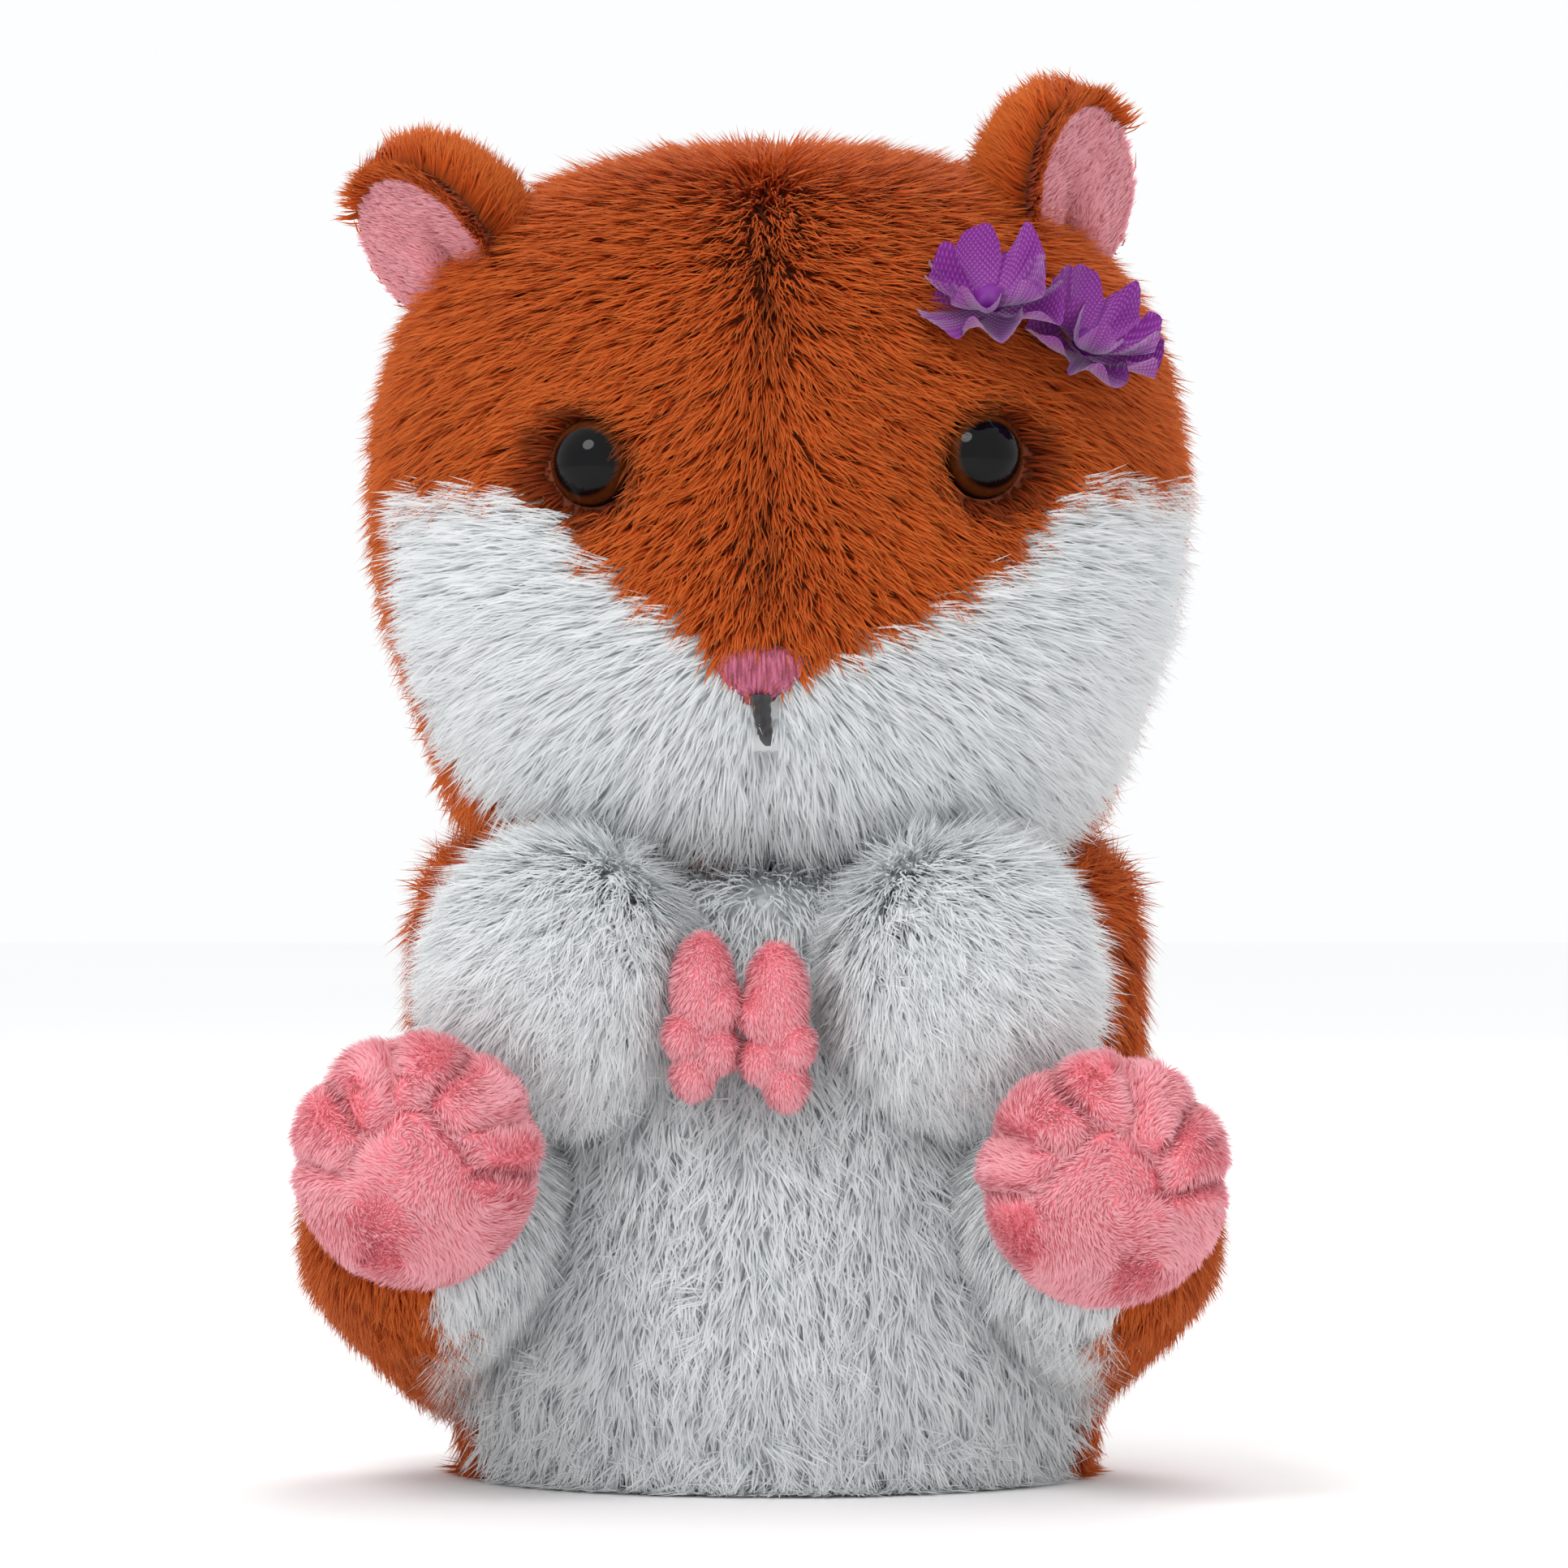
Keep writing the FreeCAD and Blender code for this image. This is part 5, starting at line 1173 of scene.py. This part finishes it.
class HAMSTER_OT_ears(bpy.types.Operator):
    """Builds both ears: an orange furred back with its rim and a folded pink lining"""

    bl_idname = "hamster.ears"
    bl_label = "Ears"

    def execute(self, context):
        for side, way, seed in (("left", 1, 61), ("right", -1, 62)):
            rng = np.random.default_rng(seed)
            whole, back, front = ear_forms(side)
            piece = stuffed(f"{side}_ear_plush", whole, "head",
                            backing_cloth("Pink backing"),
                            [f"{side}_ear", f"{side}_ear_lining"])
            piece.data.materials.append(backing_cloth("Orange backing with painted shade"))
            count = len(back[1])
            piece.data.polygons.foreach_set(
                "material_index", [1 if i < count else 0 for i in range(len(piece.data.polygons))])
            ear = EARS[side]
            local = np.array(Matrix.Rotation(math.radians(ear["lean"]), 3, "Y")
                             @ Matrix.Rotation(math.radians(ear["twist"]), 3, "Z"))
            p, n = scatter(back, many(16000), rng)
            tip = turned(np.array([[0.0, 0, 1.0]]), ear["lean"], 0.0, (0, 0, 0))[0]
            flow = 0.3 * unit(p - np.array(ear["centre"])) + 0.6 * tip + 0.9 * local[:, 1]
            grow_pile(f"{side}_ear_pile", p, n, flow, pile_length("orange") * 0.8, "head", "orange_pile",
                      rng, lean=(0.3, 0.7), tint=0.62)
            p, n = scatter(front, many(15000), rng)
            q = (p - np.array(ear["centre"])) @ local / np.array([ear["width"] - 1.0, 1, ear["height"] - 2.0])
            u, w = q[:, 0] * way, q[:, 2]
            pink = (((u - 0.16) / 0.90) ** 2 + ((w + 0.05) / 0.95) ** 2) < 1
            tint = 0.9 + 0.08 * np.sin(p[:, 2] * 0.6) - 0.6 * np.exp(-((u - 0.3) / 0.13) ** 2)
            grow_pile(f"{side}_ear_lining_pile", p[pink], n[pink], np.broadcast_to(tip, p[pink].shape),
                      pile_length("pink"), "head", "pink_pile", rng, lean=(0.3, 0.75),
                      tint=tint[pink],
                      width=0.28, lock=20)
            m = ~pink
            flow = unit(p - np.array(ear["centre"])) + 0.4 * tip
            grow_pile(f"{side}_ear_rim_pile", p[m], n[m], flow[m], pile_length("orange") * 0.62, "head",
                      "orange_pile", rng, lean=(0.35, 0.8), tint=0.58)
        return {"FINISHED"}


class HAMSTER_OT_face(bpy.types.Operator):
    """Finishes the eyes and builds the embroidered nose and mouth"""

    bl_idname = "hamster.face"
    bl_label = "Face"

    def execute(self, context):
        for side, (_, _, turn) in EYES.items():
            eye = frame["nodes"][f"{side}_eye"]
            axis = Vector((math.sin(math.radians(turn)), -math.cos(math.radians(turn)), 0))
            apex = max((v.co for v in eye.data.vertices), key=lambda c: c.dot(axis)).copy()
            eye.data.materials.clear()
            eye.data.materials.append(eye_material(f"{side.title()} eye dome", apex, axis))
        points, faces = head_form()
        tree = BVHTree.FromPolygons([Vector(p) for p in points], [tuple(f) for f in faces])

        def front_y(x, z):
            hit = tree.ray_cast(Vector((x, -200, z)), Vector((0, 1, 0)))[0]
            return hit.y if hit else -45.0

        across, down = 97, 22
        rows = []
        for b in np.linspace(0, 1, down):
            half = 6.4 * max(1 - b * b, 0) ** 0.5 + 0.3
            sunk = 2.2 * (1 - b) ** 4
            for a in np.linspace(-1, 1, across):
                x = half * a
                dome = max(1 - a * a, 0) ** 0.5 * (4 * b * (1 - b)) ** 0.3
                z = 124.6 - 8.0 * b - 1.4 * a * a * (1 - b)
                thread = 0.3 * abs(math.cos(a * 9.5 * math.pi * max(1 - b * b, 0.05) ** 0.5))
                thread += 0.12 * math.sin(z * 9 + 5 * math.sin(x * 3))
                rows.append((x, front_y(x, z) - 2.4 + sunk - 1.3 * dome - thread, z))
        faces = [((r + 1) * across + i, (r + 1) * across + i + 1, r * across + i + 1, r * across + i)
                 for r in range(down - 1) for i in range(across - 1)]
        thread = thread_material("Nose thread", tuple(colours().nose))
        nose = new_object("nose_stitching", rows, faces, [thread])
        thick = nose.modifiers.new("Thread depth", "SOLIDIFY")
        thick.thickness = 0.0012
        thick.offset = -1.0
        bpy.ops.object.select_all(action="DESELECT")
        bpy.context.view_layer.objects.active = nose
        nose.select_set(True)
        bpy.ops.object.modifier_apply(modifier=thick.name)
        finish_piece(nose, "head", ["nose"])
        self.mouth(front_y)
        return {"FINISHED"}

    def mouth(self, front_y):
        """A short stitch of twisted thread, closed at both ends."""
        bpy.ops.object.select_all(action="DESELECT")
        bpy.ops.mesh.primitive_cylinder_add(vertices=20, radius=1.0, depth=1.0, end_fill_type="NGON")
        piece = bpy.context.object
        piece.name = "mouth_stitch"
        bpy.ops.object.mode_set(mode="EDIT")
        bpy.ops.mesh.select_all(action="SELECT")
        bpy.ops.mesh.bisect(plane_co=(0, 0, 0), plane_no=(0, 0, 1))
        bpy.ops.mesh.select_all(action="SELECT")
        bpy.ops.object.mode_set(mode="OBJECT")
        cuts = piece.modifiers.new("Lengths", "SUBSURF")
        cuts.subdivision_type = "SIMPLE"
        cuts.levels = cuts.render_levels = 4
        bpy.ops.object.modifier_apply(modifier=cuts.name)
        for v in piece.data.vertices:
            t = 0.5 - v.co.z
            angle = math.atan2(v.co.y, v.co.x)
            radius = math.hypot(v.co.x, v.co.y) * (1 + 0.14 * abs(math.sin(1.5 * angle + t * 16)))
            radius *= 1.35 * (1 - 0.3 * t) * min(1, 6 * (1.02 - t)) ** 0.5
            x = 0.2 + 1.0 * t * t + radius * math.cos(angle)
            z = 117.2 - 7.4 * t
            v.co = Vector((x, front_y(0.6, z) - 3.2 + 1.6 * t * t + radius * math.sin(angle) * 0.8, z)) * MM
        piece.data.materials.append(thread_material("Mouth thread", linear(13, 13, 17)))
        bpy.ops.object.shade_smooth()
        finish_piece(piece, "head", ["mouth"])


class HAMSTER_OT_flowers(bpy.types.Operator):
    """Builds two woven flowers, each with an outer layer, an inner layer and a knot"""

    bl_idname = "hamster.flowers"
    bl_label = "Flowers"

    def execute(self, context):
        cloth = petal_material()
        for number, flower in enumerate(FLOWERS):
            for layer, radius, level, cup in (("outer", 13.6, 0.0, 3.2), ("inner", 11.4, 1.6, 6.4)):
                inner = layer == "inner"
                points, faces, place, flat = petal_ring(
                    radius, 5, 0.5 + number + (0.9 if inner else 0), cup, 70 + number * 2 + inner,
                    flower["centre"], flower["turn"], level)
                side = ("first", "second")[number]
                piece = new_object(f"{side}_flower_{layer}", points, faces, [cloth])
                uv = piece.data.uv_layers.new(name=BAKE_MAP)
                index = np.empty(len(piece.data.loops), np.int32)
                piece.data.loops.foreach_get("vertex_index", index)
                uv.data.foreach_set("uv", place[index].ravel())
                finish_piece(piece, "head", [f"flower_{layer}"])
            self.knot(number, flower)
        return {"FINISHED"}

    def knot(self, number, flower):
        """The gathered middle."""
        bpy.ops.object.select_all(action="DESELECT")
        bpy.ops.mesh.primitive_uv_sphere_add(segments=24, ring_count=14, radius=1.0)
        piece = bpy.context.object
        piece.name = ("first", "second")[number] + "_flower_knot"
        tilt = np.array(Matrix.Rotation(math.radians(FLOWER_TILT), 3, "X"))
        for v in piece.data.vertices:
            d = np.array(v.co)
            ruffle = 1 + 0.12 * math.sin(5 * math.atan2(d[1], d[0]))
            local = d * np.array([2.4 * ruffle, 2.4 * ruffle, 1.8]) + np.array([0, 0, 2.4])
            v.co = Vector(turned((local @ tilt.T)[None], 0.0, flower["turn"], flower["centre"])[0]) * MM
        thread = moulded_material("Purple thread", linear(110, 12, 128), linear(140, 40, 160), 0.5, 0.7)
        piece.data.materials.append(thread)
        bpy.ops.object.shade_smooth()
        finish_piece(piece, "head", ["flower_knots"])


# slot: title, colour, worn colour, low and high roughness, metal, relief, coat
FINISHES = {
    "base_plastic": ("Base plastic", (236, 234, 228), (214, 212, 204), 0.42, 0.6, 0.0, 0.3, 0.0),
    "casing_plastic": ("Casing plastic", (214, 216, 214), (190, 192, 190), 0.4, 0.55, 0.0, 0.2, 0.0),
    "washer_plastic": ("Washer plastic", (190, 196, 202), (160, 166, 172), 0.35, 0.5, 0.0, 0.1, 0.0),
    "button_plastic": ("Button plastic", (70, 120, 190), (50, 96, 160), 0.35, 0.5, 0.0, 0.15, 0.0),
    "black_plastic": ("Black plastic", (26, 26, 28), (52, 52, 56), 0.35, 0.55, 0.0, 0.25, 0.0),
    "gear_plastic": ("Gear plastic", (240, 238, 226), (214, 210, 190), 0.3, 0.45, 0.0, 0.05, 0.0),
    "pinion_brass": ("Pinion brass", (206, 164, 86), (150, 112, 52), 0.25, 0.4, 1.0, 0.1, 0.0),
    "steel": ("Turned steel", (178, 180, 184), (130, 132, 136), 0.22, 0.4, 1.0, 0.15, 0.0),
    "screw_steel": ("Zinc plated steel", (190, 188, 180), (120, 118, 110), 0.25, 0.45, 1.0, 0.2, 0.0),
    "contact_steel": ("Nickel plated leaf", (206, 202, 192), (160, 156, 146), 0.2, 0.35, 1.0, 0.1, 0.0),
    "cell_jacket": ("Cell jacket", (40, 130, 84), (24, 96, 60), 0.25, 0.4, 0.2, 0.05, 0.3),
    "board_green": ("Solder mask", (20, 96, 52), (12, 70, 38), 0.25, 0.4, 0.0, 0.1, 0.4),
    "board_black": ("Board parts", (24, 24, 26), (70, 70, 74), 0.3, 0.6, 0.0, 0.2, 0.0),
    "speaker_black": ("Speaker basket", (34, 34, 36), (60, 60, 64), 0.4, 0.6, 0.0, 0.3, 0.0),
    "microphone_metal": ("Microphone case", (190, 192, 196), (150, 152, 156), 0.25, 0.4, 1.0, 0.1, 0.0),
    "stuffing_fibre": ("Loose fibre", (236, 236, 230), (205, 205, 196), 0.85, 0.95, 0.0, 1.0, 0.0),
}


class HAMSTER_OT_finishes(bpy.types.Operator):
    """Gives every hard part and the loose fibre its own finish"""

    bl_idname = "hamster.finishes"
    bl_label = "Finishes of the chassis"

    def execute(self, context):
        slots = {row["node"]: row["material_slot"] for row in frame["record"]["subparts"]}
        for name, node in frame["nodes"].items():
            if slots[name] in FINISHES and not node.hide_render:
                title, base, worn, low, high, metal, relief, coat = FINISHES[slots[name]]
                made = moulded_material(title, linear(*base), linear(*worn), low, high, metal, relief, coat)
                node.data.materials.clear()
                node.data.materials.append(made)
        return {"FINISHED"}


class HAMSTER_OT_stage(bpy.types.Operator):
    """Builds the pale floor, the soft studio light and the camera"""

    bl_idname = "hamster.stage"
    bl_label = "Stage"

    def execute(self, context):
        bpy.ops.object.select_all(action="DESELECT")
        bpy.ops.mesh.primitive_plane_add(size=8.0)
        floor = bpy.context.object
        floor.name = "studio_floor"
        material, tree, shader = new_material("Pale floor")
        place = tree.nodes.new("ShaderNodeTexCoord").outputs["Object"]
        tone = mix_colour(tree, noise(tree, place, 3.0), linear(250, 250, 250), linear(253, 253, 253))
        tree.links.new(tone, shader.inputs["Base Color"])
        shader.inputs["Roughness"].default_value = 0.9
        shader.inputs["Specular IOR Level"].default_value = 0.1
        floor.data.materials.append(material)
        scene = context.scene
        world = bpy.data.worlds.new("Studio")
        world.use_nodes = True
        world.node_tree.nodes["Background"].inputs[0].default_value = (0.985, 0.99, 1.0, 1)
        world.node_tree.nodes["Background"].inputs[1].default_value = 1.0
        scene.world = world
        self.lamp("Key", (-0.5, -0.9, 1.1), 0.6, 7.0)
        self.lamp("Back", (0.2, 0.8, 1.2), 0.8, 5.0)
        camera = bpy.data.objects.new("Camera", bpy.data.cameras.new("Camera"))
        camera.location = (0.0035, -1.2, 0.1043)
        camera.rotation_euler = (math.radians(90), 0, 0)
        camera.data.sensor_width = 36.0
        camera.data.lens = 36.0 * 1.17 / 0.2318
        camera.data.clip_end = 50.0
        scene.collection.objects.link(camera)
        scene.camera = camera
        scene.view_settings.view_transform = "Standard"
        return {"FINISHED"}

    def lamp(self, name, place, size, power):
        """A large soft lamp that points at the toy's middle."""
        data = bpy.data.lights.new(name, "AREA")
        data.shape = "DISK"
        data.size = size
        data.energy = power
        lamp = bpy.data.objects.new(name, data)
        lamp.location = place
        lamp.rotation_euler = (Vector((0, 0, 0.1)) - Vector(place)).to_track_quat("-Z", "Y").to_euler()
        bpy.context.scene.collection.objects.link(lamp)


class HAMSTER_PT_panel(bpy.types.Panel):
    """Lists the pieces and the settings"""

    bl_label = "Plush hamster"
    bl_idname = "HAMSTER_PT_panel"
    bl_space_type = "VIEW_3D"
    bl_region_type = "UI"
    bl_category = "Hamster"

    def draw(self, context):
        column = self.layout.column()
        for group in (context.scene.hamster_pile, context.scene.hamster_colours):
            for name in group.bl_rna.properties.keys():
                if name not in ("rna_type", "name"):
                    column.prop(group, name)
        for operator in PIECES:
            column.operator(operator.bl_idname)


PIECES = (
    HAMSTER_OT_stage, HAMSTER_OT_head, HAMSTER_OT_body, HAMSTER_OT_legs, HAMSTER_OT_arms,
    HAMSTER_OT_hands_and_feet, HAMSTER_OT_ears, HAMSTER_OT_face, HAMSTER_OT_flowers, HAMSTER_OT_finishes,
)
CLASSES = (HamsterPile, HamsterColours, *PIECES, HAMSTER_PT_panel)


def register():
    for c in CLASSES:
        bpy.utils.register_class(c)
    bpy.types.Scene.hamster_pile = bpy.props.PointerProperty(type=HamsterPile)
    bpy.types.Scene.hamster_colours = bpy.props.PointerProperty(type=HamsterColours)


def unregister():
    del bpy.types.Scene.hamster_colours
    del bpy.types.Scene.hamster_pile
    for c in reversed(CLASSES):
        bpy.utils.unregister_class(c)


def main():
    """Builds every piece in order."""
    register()
    for operator in PIECES:
        group, name = operator.bl_idname.split(".")
        getattr(getattr(bpy.ops, group), name)()


if __name__ == "__main__":
    main()
